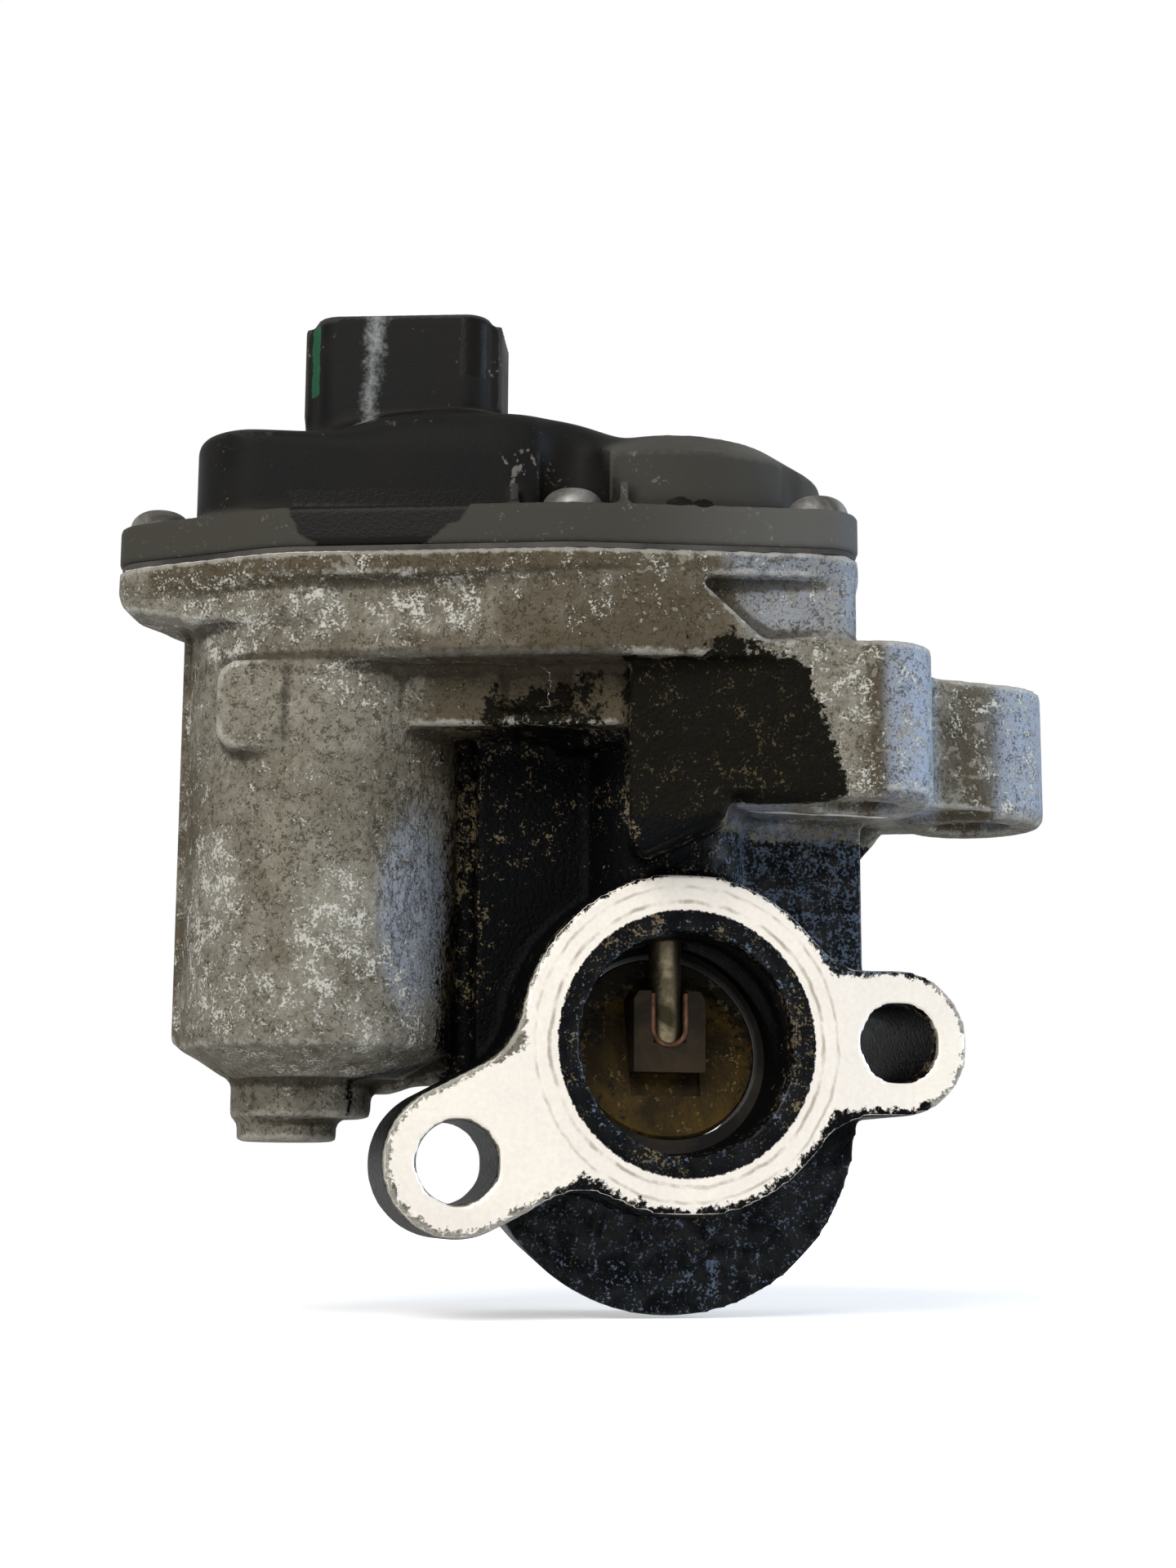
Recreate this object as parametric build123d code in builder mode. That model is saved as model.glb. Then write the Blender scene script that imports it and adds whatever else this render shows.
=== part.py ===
from build123d import *
import math
import os

os.makedirs("parts", exist_ok=True)

# Electric flap-type exhaust gas recirculation valve, in millimetres.
# Frame: origin at the centre of the inlet port on its machined face, +X to the right of the
# flange, +Y into the valve along the gas flow, +Z up along the flap shaft.

# ---------------------------------------------------------------- driving dimensions
DECK_TURN = -17.0           # gearbox turned about the shaft, seen from above (degrees)
SHAFT_DEPTH = 10.0          # flap shaft axis behind the flange face
DISC_DEPTH = 11.8           # centre of the flap disc behind the flange face
DISC_TILT = 17.0            # the disc leans back at its top (degrees)
FLAP_TRAVEL = 70.0          # closed to fully open (degrees)

# Flange and gas passage
PORT_R = 12.25              # machined mouth of the port
PORT_MOUTH = 5.0            # depth of the mouth
PASSAGE_R = 12.0            # gas passage behind the mouth
FLANGE_R = 19.0
FLANGE_THICK = 12.0
LUG_R = 8.2
LUG_LEFT = (-25.6, -13.2)
LUG_RIGHT = (24.8, 0.5)
FLANGE_HOLE_R = 4.5         # clearance for M8
NECK_FILLET = 8.0
BODY_FRONT = 10.0
BODY_REAR = 31.0
BODY_R = 22.6
BODY_CENTRE = (0.5, -7.4)
BODY_DRAFT = 7.0
BODY_TOP = 43.0
CHAMBER_FRONT = 17.0
CHAMBER_R = 15.5
CHAMBER_Z = -4.0
BODY_UPPER = (-22.1, 24.3)  # left and right sides of the body's upper part
BODY_SHOULDER = 4.0         # the body is round below this height
BOLT_RELIEF_R = 9.0         # room for the bolt head behind the left lug
REAR_THREADS = [(-15.5, 12.0), (16.5, 12.0)]
REAR_THREAD_R = 2.1
REAR_THREAD_DEPTH = 9.0

# Gear train: teeth, modules and levels
SMALL_MODULE = 0.8
PRESSURE_ANGLE = 25.0
ADDENDUM = 0.8
DEDENDUM = 1.05
BACKLASH = 0.11             # gap left on each tooth flank, at the pitch circle
PINION_TEETH = 14
WHEEL_TEETH = 38
IDLER_TEETH = 12
SECTOR_TEETH = 36           # as a full circle
SECTOR_CUT = 10             # teeth really cut on the sector
SECTOR_Z = 46.6
SECTOR_THICK = 5.6
IDLER_Z = 46.4
WHEEL_Z = 53.4
WHEEL_THICK = 4.4
IDLER_TOP = 59.0
PINION_Z = 52.6
PINION_THICK = 6.4

# Gearbox deck (positions are in the deck's own plane, from the shaft axis)
MOTOR = (-39.5, -3.4)
DECK_Z = 53.5
TRAY_BOTTOM = 41.6
TRAY_FLOOR = 44.5
LIP_THICK = 2.8
EAR_DEPTH = 4.0
EAR_R = 4.5
SCREWS = [(-58.0, -10.5), (-9.8, -17.0), (17.6, -12.9), (-51.0, 13.5), (-16.0, 21.5), (14.5, 16.5)]
MOTOR_LOBE_R = 17.3
WHEEL_LOBE_R = 18.6
SHAFT_LOBE_R = 18.6
WALL_INSET = 1.7
SCREW_R = 1.95
SCREW_HOLE_R = 2.2
THREAD_HOLE_R = 2.0
THREAD_DEPTH = 4.4
SCREW_REACH = 4.0           # length of screw in the casting
SCREW_HEAD_R = 3.5
BOSS_R = 4.2

# Motor well
MOTOR_HOUSING_R = 15.6
WELL_R = 13.8
WELL_BOTTOM = -1.5
WELL_FLOOR_R = 10.2         # the well narrows to this at its floor
STUB_POCKET_R = 4.7
STUB_POCKET_Z = -6.6
STUB_Z = -8.2
MOTOR_BASE_Z = -3.8
MOTOR_BASE_R = 9.8
MOTOR_END_Z = -10.8
RIB_LEFT = -55.7
RIB_TOP = 49.7
WEB_BOTTOM = -5.2
MOTOR_PAD = (-45.0, 36.6)

MOTOR_SCREWS = [(-24.6, -10.2), (-27.0, 7.4)]
MOTOR_SHAFT_R = 1.6
CAN_R = 13.5
CAN_WALL = 0.8
CAN_Z = -0.5
CAN_CORNER = 3.4            # sloped corner round the closed end of the can
CAN_NOSE_R = 4.3
CAN_NOSE = 5.4
CAN_TOP = 42.0
PLATE_THICK = 1.5
POWER_TABS = [(-45.5, -10.9), (-45.5, 4.1)]
TAB_Z = 39.0
TAB_WIDE = 2.4
TAB_THICK = 0.9
FIELD_Z = 4.0               # lower end of the two field magnets
FIELD_LONG = 27.0
FIELD_BORE_R = 10.9
FIELD_SPLIT = 6.4
CORE_Z = 7.0
CORE_LONG = 22.0
CORE_R = 10.3
CORE_SLOTS = 5
WINDING_R = 9.2
WINDING_END = 3.6           # length of winding outside the core at each end
COMMUTATOR_Z = 33.4
COMMUTATOR_LONG = 5.4
COMMUTATOR_R = 4.2
HOLDER_Z = 33.0
HOLDER_BORE_R = 9.7
HOLDER_GAP = 0.05
BRUSH_Z = 34.4
BRUSH_HIGH = 3.4
BRUSH_WIDE = 3.2
BRUSH_LONG = 5.1
BUSHING_R = 3.4
BUSHING_LONG = 4.2
UPPER_BUSHING_Z = 40.4
MOTOR_SCREW_R = 1.45
MOTOR_SCREW_HEAD_R = 2.7
MOTOR_SCREW_LONG = 7.0

# Idler pin
PIN_R = 2.0
PIN_Z = 38.5
PIN_TOP = 62.0

# Mounting bracket on the right
BRACKET_FRONT = -17.0
BRACKET_LEFT = -3.4
BRACKET_RIGHT = 30.2
BRACKET_Z = 26.2            # machined underside
BRACKET_TOP = 43.8
BRACKET_DEPTH = 17.0
BRACKET_HOLE = (21.8, -8.6)
REAR_BOSS = (36.0, 6.5)
REAR_BOSS_TOP = 42.0
BRACKET_BOSS_R = 8.4
BRACKET_HOLE_R = 4.5        # clearance for M8
PAD_STEP = 0.8

# Shaft line
SHAFT_R = 3.0
NECK_R = 1.85
NECK_BOTTOM = 0.5
NECK_TOP = 15.4
SHAFT_TOP = 52.6
RUNNING_GAP = 0.04
HUB_R = 9.0
SPRING_BOSS_R = 13.5
SPRING_BOSS_Z = 33.5
BUSH_R = 5.0
BUSH_Z = 15.0
BUSH_LONG = 11.0
SEAL_R = 6.0
SEAL_Z = 27.0
SEAL_THICK = 3.0
BEARING_R = 6.5
BEARING_Z = 30.8
BEARING_WIDE = 5.0
SPRING_POCKET_R = 11.6
SPRING_POCKET_Z = 37.0
SPRING_TUBE_R = 7.4
ROLLER_R = 0.62
ROLLERS = 10
TRACK_R = 4.65              # circle that the rollers run on
ROLLER_GAP = 0.03
WIRE_R = 0.6
COIL_R = 9.2
COIL_PITCH = 1.45
COIL_TURNS = 3.5
COIL_Z = 38.0
SPACER_R = 4.0
SECTOR_HUB_R = 5.4
MAGNET_R = 2.9
MAGNET_LONG = 5.0

# Flap and its seat
DISC_R = 10.95
DISC_THICK = 1.5
SEAT_R = 11.3
SEAT_THICK = 2.5
SADDLE_WIDE = 8.4
SADDLE_LOW = -2.8
SADDLE_HIGH = 6.4
SADDLE_FRONT = 2.2          # front of the saddle ahead of the shaft axis

# Cover
GASKET = 0.6
BAND_THICK = 4.6
COVER_WALL = 1.8
LEFT_DOME_TOP = 68.8
LEFT_DOME_ENDS = [(-46.0, -11.3), (-46.0, 4.9)]
LEFT_DOME_CORNER_R = 7.5
RIGHT_DOME_TOP = 68.8
RIGHT_DOME_SLOPE = 3.6
DOME_ROOF = 2.2
SCREW_POCKET_R = 4.1
CONNECTOR = (-30.5, -4.0)
CONNECTOR_WIDE = 20.9
CONNECTOR_DEEP = 13.0
CONNECTOR_TOP = 85.0
SOCKET_WALL = 1.7
SOCKET_DEPTH = 14.0
TERMINALS = 5
TERMINAL_PITCH = 3.2
TERMINAL_WIDE = 1.5
TERMINAL_DEEP = 0.8
TERMINAL_LONG = 9.5         # length standing free in the socket
STRIP_Z = 62.2
STRIP_THICK = 0.6
BOARD_THICK = 1.2

# ---------------------------------------------------------------- planes
DECK = Plane(
    origin=(0, SHAFT_DEPTH, 0),
    x_dir=Vector(1, 0, 0).rotate(Axis.Z, DECK_TURN),
    z_dir=(0, 0, 1),
)
PORT = Plane(origin=(0, 0, 0), x_dir=(1, 0, 0), z_dir=(0, -1, 0))
TILT = math.radians(DISC_TILT)
DISC = Plane(
    origin=(0, DISC_DEPTH, 0),
    x_dir=(1, 0, 0),
    z_dir=(0, -math.cos(TILT), math.sin(TILT)),
)


def deck(height):
    """Level plane of the gearbox at a height."""
    return DECK.offset(height)


def port(depth):
    """Upright plane parallel to the flange face, at a depth behind it."""
    return PORT.offset(-depth)


def front(depth):
    """Upright plane parallel to the front of the gearbox, local Y up."""
    return Plane(
        origin=DECK.from_local_coords((0, depth, 0)),
        x_dir=DECK.x_dir,
        z_dir=-DECK.y_dir,
    )


def upright(centre):
    """Plane through a vertical axis of the gearbox, for turned profiles."""
    return Plane(
        origin=DECK.from_local_coords((centre[0], centre[1], 0)),
        x_dir=DECK.x_dir,
        z_dir=-DECK.y_dir,
    )


def upright_axis(centre):
    """Vertical axis through a point of the gearbox."""
    return Axis(DECK.from_local_coords((centre[0], centre[1], 0)), (0, 0, 1))


# ---------------------------------------------------------------- gear layout
def pitch_r(teeth):
    """Pitch radius of a gear of the train."""
    return SMALL_MODULE * teeth / 2


FIRST_CENTRES = pitch_r(PINION_TEETH) + pitch_r(WHEEL_TEETH)
SECOND_CENTRES = pitch_r(IDLER_TEETH) + pitch_r(SECTOR_TEETH)
MOTOR_REACH = math.hypot(*MOTOR)
ALONG = (MOTOR_REACH**2 + SECOND_CENTRES**2 - FIRST_CENTRES**2) / (2 * MOTOR_REACH)
ASIDE = math.sqrt(SECOND_CENTRES**2 - ALONG**2)
TOWARDS = (MOTOR[0] / MOTOR_REACH, MOTOR[1] / MOTOR_REACH)
IDLER = (ALONG * TOWARDS[0] + ASIDE * TOWARDS[1], ALONG * TOWARDS[1] - ASIDE * TOWARDS[0])
MESH_ANGLE = math.degrees(math.atan2(IDLER[1], IDLER[0]))
DRIVE_ANGLE = math.degrees(math.atan2(MOTOR[1] - IDLER[1], MOTOR[0] - IDLER[0]))


def involute(angle):
    """Involute function of a pressure angle in radians."""
    return math.tan(angle) - angle


def half_tooth(teeth, radius):
    """Half the angle of a tooth at a radius, in radians."""
    pitch = pitch_r(teeth)
    base = pitch * math.cos(math.radians(PRESSURE_ANGLE))
    at_pitch = math.pi / 2 / teeth - BACKLASH / 2 / pitch
    here = math.acos(min(1.0, base / max(radius, base)))
    return at_pitch + involute(math.radians(PRESSURE_ANGLE)) - involute(here)


def gear_points(teeth, first_angle, count):
    """Outline points of a run of teeth, the first tooth centred on first_angle (degrees)."""
    pitch = pitch_r(teeth)
    root = pitch - DEDENDUM * SMALL_MODULE
    tip = pitch + ADDENDUM * SMALL_MODULE
    base = max(root + 0.02, pitch * math.cos(math.radians(PRESSURE_ANGLE)))
    radii = [root, base, (base + pitch) / 2, pitch, tip]
    points = []
    for tooth in range(count):
        middle = math.radians(first_angle + tooth * 360 / teeth)
        for side in (-1, 1):
            for radius in radii[::-side]:
                angle = middle + side * half_tooth(teeth, radius)
                points.append((radius * math.cos(angle), radius * math.sin(angle)))
    return points


def full_gear(height, centre, teeth, first_angle):
    """Sketch of a complete gear."""
    with BuildSketch(deck(height)) as outline:
        with Locations(centre):
            Polygon(*gear_points(teeth, first_angle, teeth), align=None)
    return outline.sketch


def ring(height, centre, outer, inner):
    """Sketch of a flat ring."""
    with BuildSketch(deck(height)) as outline:
        with Locations(centre):
            Circle(outer)
            Circle(inner, mode=Mode.SUBTRACT)
    return outline.sketch


def disc(height, centre, radius):
    """Sketch of a round disc."""
    with BuildSketch(deck(height)) as outline:
        with Locations(centre):
            Circle(radius)
    return outline.sketch


def hull(height, circles):
    """Sketch of the convex outline round a list of (centre, radius)."""
    with BuildSketch(deck(height)) as outline:
        for centre, radius in circles:
            with Locations(centre):
                Circle(radius)
        make_hull()
    return outline.sketch


def screw_circles(radius):
    """The cover screws as a list of circles."""
    return [(centre, radius) for centre in SCREWS]


def lobes(inset):
    """Motor, wheel and shaft lobes of the gearbox outline, drawn in by an inset."""
    return [
        (MOTOR, MOTOR_LOBE_R - inset),
        (IDLER, WHEEL_LOBE_R - inset),
        ((0, 0), SHAFT_LOBE_R - inset),
    ]


def gear_space(height, extra=0.0):
    """Sketch of the hollow that the gears turn in."""
    wheel_tip = pitch_r(WHEEL_TEETH) + ADDENDUM * SMALL_MODULE
    sector_tip = pitch_r(SECTOR_TEETH) + ADDENDUM * SMALL_MODULE
    with BuildSketch(deck(height)) as space:
        with Locations(MOTOR):
            Circle(WELL_R + 0.8 + extra)
        with Locations(IDLER):
            Circle(wheel_tip + 0.5 + extra)
        Circle(sector_tip + 0.5 + extra)
        with Locations((1 + SHAFT_LOBE_R / 2, 0)):
            Rectangle(SHAFT_LOBE_R, 3 * sector_tip, mode=Mode.SUBTRACT)
        Circle(SPRING_POCKET_R + extra)
        with Locations(*SCREWS):
            Circle(BOSS_R - extra, mode=Mode.SUBTRACT)
    return space.sketch


def save(piece, name):
    """Label a finished piece and write it as its own STEP file."""
    piece.part.label = name
    export_step(piece.part, f"parts/{name}.step")


# ---------------------------------------------------------------- main housing casting
with BuildPart() as main_housing:
    # Gearbox tray, its lip, screw columns and the ear on the left with its sloped underside
    ear = [(SCREWS[0], EAR_R - 0.3), (MOTOR, MOTOR_LOBE_R - 1)]
    extrude(hull(DECK_Z - LIP_THICK, ear), amount=-EAR_DEPTH)
    extrude(hull(DECK_Z - LIP_THICK, lobes(0) + screw_circles(EAR_R)), amount=LIP_THICK)
    with BuildSketch(front(MOTOR[1] - MOTOR_LOBE_R - 2)):
        with BuildLine():
            left = SCREWS[0][0] - EAR_R
            top = DECK_Z - LIP_THICK
            Polyline(
                (left - 1, top - 0.4), (left, top - 0.4), (left + 1.7, top - 2.2),
                (RIB_LEFT + 2, top - 3.6), (RIB_LEFT + 2, top - EAR_DEPTH - 1),
                (left - 1, top - EAR_DEPTH - 1), (left - 1, top - 0.4),
            )
        make_face()
    extrude(amount=-2.5 * MOTOR_LOBE_R, mode=Mode.SUBTRACT)
    tray = lobes(WALL_INSET) + [(SCREWS[1], BOSS_R), (SCREWS[2], BOSS_R)]
    extrude(hull(TRAY_BOTTOM, tray), amount=DECK_Z - TRAY_BOTTOM)
    for place in SCREWS[1:]:
        extrude(disc(TRAY_BOTTOM + 3, place, BOSS_R), amount=DECK_Z - TRAY_BOTTOM - 3)
    # Motor well with its sloped end, the stub under it and the flat rib on its left
    with BuildSketch(upright(MOTOR)):
        with BuildLine():
            Polyline(
                (0, MOTOR_BASE_Z), (MOTOR_BASE_R, MOTOR_BASE_Z), (MOTOR_HOUSING_R, MOTOR_BASE_Z + 3.2),
                (MOTOR_HOUSING_R, DECK_Z - 1), (0, DECK_Z - 1), (0, MOTOR_BASE_Z),
            )
        make_face()
    revolve(axis=upright_axis(MOTOR))
    stub = [((MOTOR[0] - 2.7, MOTOR[1]), 7.0), (MOTOR, STUB_POCKET_R + 1.5)]
    extrude(hull(STUB_Z, stub), amount=MOTOR_BASE_Z + 0.8 - STUB_Z)
    extrude(disc(MOTOR_END_Z, (MOTOR[0] - 3.3, MOTOR[1]), 5.6), amount=STUB_Z + 0.2 - MOTOR_END_Z)
    with BuildSketch(front(-7.5)):
        with BuildLine():
            Polyline(
                (RIB_LEFT, RIB_TOP), (RIB_LEFT + 0.1, MOTOR_BASE_Z + 4), (RIB_LEFT + 6.2, MOTOR_BASE_Z),
                (MOTOR[0] - 8, MOTOR_BASE_Z), (MOTOR[0] - 8, RIB_TOP), (RIB_LEFT, RIB_TOP),
            )
        make_face()
    extrude(amount=-9.5)
    # Raised pad high on the motor well
    with BuildSketch(front(MOTOR[1] - MOTOR_HOUSING_R - 0.3)):
        with Locations(MOTOR_PAD):
            RectangleRounded(8.0, 10.0, 2.4)
    extrude(amount=-6)
    # Thick floor between the motor well and the bracket, with a shallow relief in its front
    with BuildSketch(deck(34.8)):
        with Locations((-14, -1.5)):
            Rectangle(29, 27)
    extrude(amount=TRAY_BOTTOM + 1 - 34.8)
    with BuildSketch(front(-15.0)):
        with Locations((-14.0, 39.2)):
            RectangleRounded(8.4, 5.8, 1.2)
    extrude(amount=-0.9, mode=Mode.SUBTRACT)
    # Web between the motor well and the valve body
    with BuildSketch(deck(WEB_BOTTOM)):
        with Locations((-27.0, 0.5)):
            Rectangle(22, 7)
    extrude(amount=TRAY_BOTTOM - WEB_BOTTOM)
    # Valve body: U-shaped, drawn in towards the rear
    with BuildSketch(port(BODY_FRONT)):
        with Locations(BODY_CENTRE):
            Circle(BODY_R)
        with Locations(((BODY_UPPER[0] + BODY_UPPER[1]) / 2, (BODY_TOP + BODY_SHOULDER) / 2)):
            Rectangle(BODY_UPPER[1] - BODY_UPPER[0], BODY_TOP - BODY_SHOULDER)
        make_hull()
    extrude(amount=BODY_FRONT - BODY_REAR, taper=BODY_DRAFT)
    # Room for a bolt head behind the left lug
    with BuildSketch(port(FLANGE_THICK)):
        with Locations(LUG_LEFT):
            Circle(BOLT_RELIEF_R)
    extrude(amount=FLANGE_THICK - BODY_REAR - 1, mode=Mode.SUBTRACT)
    # Shaft hub and spring boss
    extrude(disc(NECK_TOP, (0, 0), HUB_R), amount=TRAY_BOTTOM - NECK_TOP)
    extrude(disc(SPRING_BOSS_Z, (0, 0), SPRING_BOSS_R), amount=TRAY_BOTTOM + 1 - SPRING_BOSS_Z)
    # Flange: round face with two lugs, and the long right-hand boss
    with BuildSketch(PORT) as flange_outline:
        Circle(FLANGE_R)
        for lug in (LUG_LEFT, LUG_RIGHT):
            with Locations(lug):
                Circle(LUG_R)
            with Locations(((lug[0] / 2, lug[1] / 2))):
                turn = math.degrees(math.atan2(lug[1], lug[0]))
                Rectangle(math.hypot(*lug), 2 * LUG_R, rotation=turn)
        joints = [v for v in flange_outline.vertices() if abs(Vector(v).length - FLANGE_R) < 0.05]
        fillet(joints, NECK_FILLET)
    extrude(amount=-FLANGE_THICK)
    with BuildSketch(port(FLANGE_THICK - 2)):
        with Locations(LUG_RIGHT):
            Circle(LUG_R)
    extrude(amount=FLANGE_THICK - 2 - BODY_REAR)
    # Bracket block, its rear boss and the gusset below it
    with BuildSketch(front(BRACKET_FRONT)):
        with BuildLine():
            Polyline(
                (BRACKET_LEFT, BRACKET_TOP), (BRACKET_LEFT, 21.4), (BRACKET_LEFT + 1.6, 20.2),
                (7.0, 24.4), (7.6, BRACKET_Z + PAD_STEP), (BRACKET_RIGHT, BRACKET_Z + PAD_STEP),
                (BRACKET_RIGHT, BRACKET_TOP), (BRACKET_LEFT, BRACKET_TOP),
            )
        make_face()
    extrude(amount=-BRACKET_DEPTH)
    corner = main_housing.edges().filter_by(Axis.Z).sort_by_distance(
        DECK.from_local_coords((BRACKET_RIGHT, BRACKET_FRONT, 35))
    )[0]
    fillet(corner, 6.0)
    arm = [(REAR_BOSS, BRACKET_BOSS_R), ((14, 8), 9.0), ((20, -4), 6.0)]
    extrude(hull(BRACKET_Z + PAD_STEP, arm), amount=REAR_BOSS_TOP - BRACKET_Z - PAD_STEP)
    # Machined pads under both bosses
    extrude(hull(BRACKET_Z, [(BRACKET_HOLE, 8.0), ((14.0, -10.6), 6.0)]), amount=PAD_STEP + 0.2)
    extrude(disc(BRACKET_Z, REAR_BOSS, 8.0), amount=PAD_STEP + 0.2)
    # Fillet-like gusset from the valve body up to the bracket
    with BuildSketch(port(14)):
        with BuildLine():
            Polyline(
                (20, 17), (22.6, 19.5), (25.4, 23), (29, BRACKET_Z + 1), (20, BRACKET_Z + 1), (20, 17)
            )
        make_face()
    extrude(amount=-8)
    # Pocket in the front wall above the bracket, open to the right
    with BuildSketch(front(BRACKET_FRONT - 7)):
        with BuildLine():
            top = DECK_Z - LIP_THICK
            right = SCREWS[2][0] + EAR_R + 2
            Polyline((4.0, top), (right, top), (right, BRACKET_TOP), (11.4, BRACKET_TOP), (4.0, top))
        make_face()
    extrude(amount=-7.7, mode=Mode.SUBTRACT)

    # Inside: motor well, gear space, shaft line, spring pocket
    well_slope = WELL_R - WELL_FLOOR_R
    extrude(disc(WELL_BOTTOM, MOTOR, WELL_FLOOR_R), amount=well_slope, taper=-45, mode=Mode.SUBTRACT)
    extrude(disc(WELL_BOTTOM + well_slope, MOTOR, WELL_R), amount=DECK_Z, mode=Mode.SUBTRACT)
    extrude(disc(STUB_POCKET_Z, MOTOR, STUB_POCKET_R), amount=10, mode=Mode.SUBTRACT)
    extrude(gear_space(TRAY_FLOOR), amount=DECK_Z, mode=Mode.SUBTRACT)
    pocket = ring(SPRING_POCKET_Z, (0, 0), SPRING_POCKET_R, SPRING_TUBE_R)
    extrude(pocket, amount=TRAY_FLOOR - SPRING_POCKET_Z, mode=Mode.SUBTRACT)
    extrude(disc(BEARING_Z, (0, 0), BEARING_R), amount=TRAY_FLOOR - BEARING_Z, mode=Mode.SUBTRACT)
    extrude(disc(SEAL_Z, (0, 0), SEAL_R), amount=BEARING_Z - SEAL_Z, mode=Mode.SUBTRACT)
    extrude(disc(BUSH_Z, (0, 0), BUSH_R), amount=SEAL_Z - BUSH_Z, mode=Mode.SUBTRACT)
    extrude(disc(0, (0, 0), NECK_R + 0.7), amount=BUSH_Z, mode=Mode.SUBTRACT)
    # Gas passage and rear chamber
    with BuildSketch(PORT):
        Circle(PORT_R)
    extrude(amount=-PORT_MOUTH, mode=Mode.SUBTRACT)
    with BuildSketch(PORT):
        Circle(PASSAGE_R)
    extrude(amount=-BODY_REAR, mode=Mode.SUBTRACT)
    with BuildSketch(port(CHAMBER_FRONT)):
        with Locations((0, CHAMBER_Z)):
            Circle(CHAMBER_R)
    extrude(amount=CHAMBER_FRONT - BODY_REAR, mode=Mode.SUBTRACT)
    # Bolt holes and threads
    with BuildSketch(PORT):
        with Locations(LUG_LEFT, LUG_RIGHT):
            Circle(FLANGE_HOLE_R)
    extrude(amount=-BODY_REAR - 2, mode=Mode.SUBTRACT)
    with BuildSketch(port(BODY_REAR)):
        with Locations(*REAR_THREADS):
            Circle(REAR_THREAD_R)
    extrude(amount=REAR_THREAD_DEPTH, mode=Mode.SUBTRACT)
    for place in (BRACKET_HOLE, REAR_BOSS):
        hole = disc(BRACKET_Z, place, BRACKET_HOLE_R)
        extrude(hole, amount=BRACKET_TOP - BRACKET_Z + 1, mode=Mode.SUBTRACT)
    for place in SCREWS:
        extrude(disc(DECK_Z - THREAD_DEPTH, place, THREAD_HOLE_R), amount=10, mode=Mode.SUBTRACT)
    extrude(disc(PIN_Z, IDLER, PIN_R), amount=TRAY_FLOOR, mode=Mode.SUBTRACT)
    for place in MOTOR_SCREWS:
        extrude(disc(TRAY_FLOOR - 6.5, place, 1.5), amount=TRAY_FLOOR, mode=Mode.SUBTRACT)
save(main_housing, "main_housing")

# ---------------------------------------------------------------- gearbox cover
cover_base = DECK_Z + GASKET
band_top = cover_base + BAND_THICK
left_roof = LEFT_DOME_TOP - DOME_ROOF
right_rim = RIGHT_DOME_TOP - RIGHT_DOME_SLOPE
right_roof = right_rim - 0.8
socket_floor = CONNECTOR_TOP - SOCKET_DEPTH


def left_dome(inset):
    """Corners over the motor and the wheel lobe of the cover's tall dome, drawn in by an inset."""
    corners = [(place, LEFT_DOME_CORNER_R - inset) for place in LEFT_DOME_ENDS]
    return corners + [(IDLER, WHEEL_LOBE_R - 0.9 - inset)]


def socket(height, grow):
    """Sketch of the connector's rounded outline, grown or shrunk."""
    with BuildSketch(deck(height)) as outline:
        with Locations(CONNECTOR):
            RectangleRounded(CONNECTOR_WIDE + 2 * grow, CONNECTOR_DEEP + 2 * grow, 3.0 + grow)
    return outline.sketch


def terminal_row(height):
    """Sketch of the row of connector terminals."""
    with BuildSketch(deck(height)) as outline:
        with Locations(CONNECTOR):
            with GridLocations(TERMINAL_PITCH, 0, TERMINALS, 1):
                Rectangle(TERMINAL_WIDE, TERMINAL_DEEP)
    return outline.sketch


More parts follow.
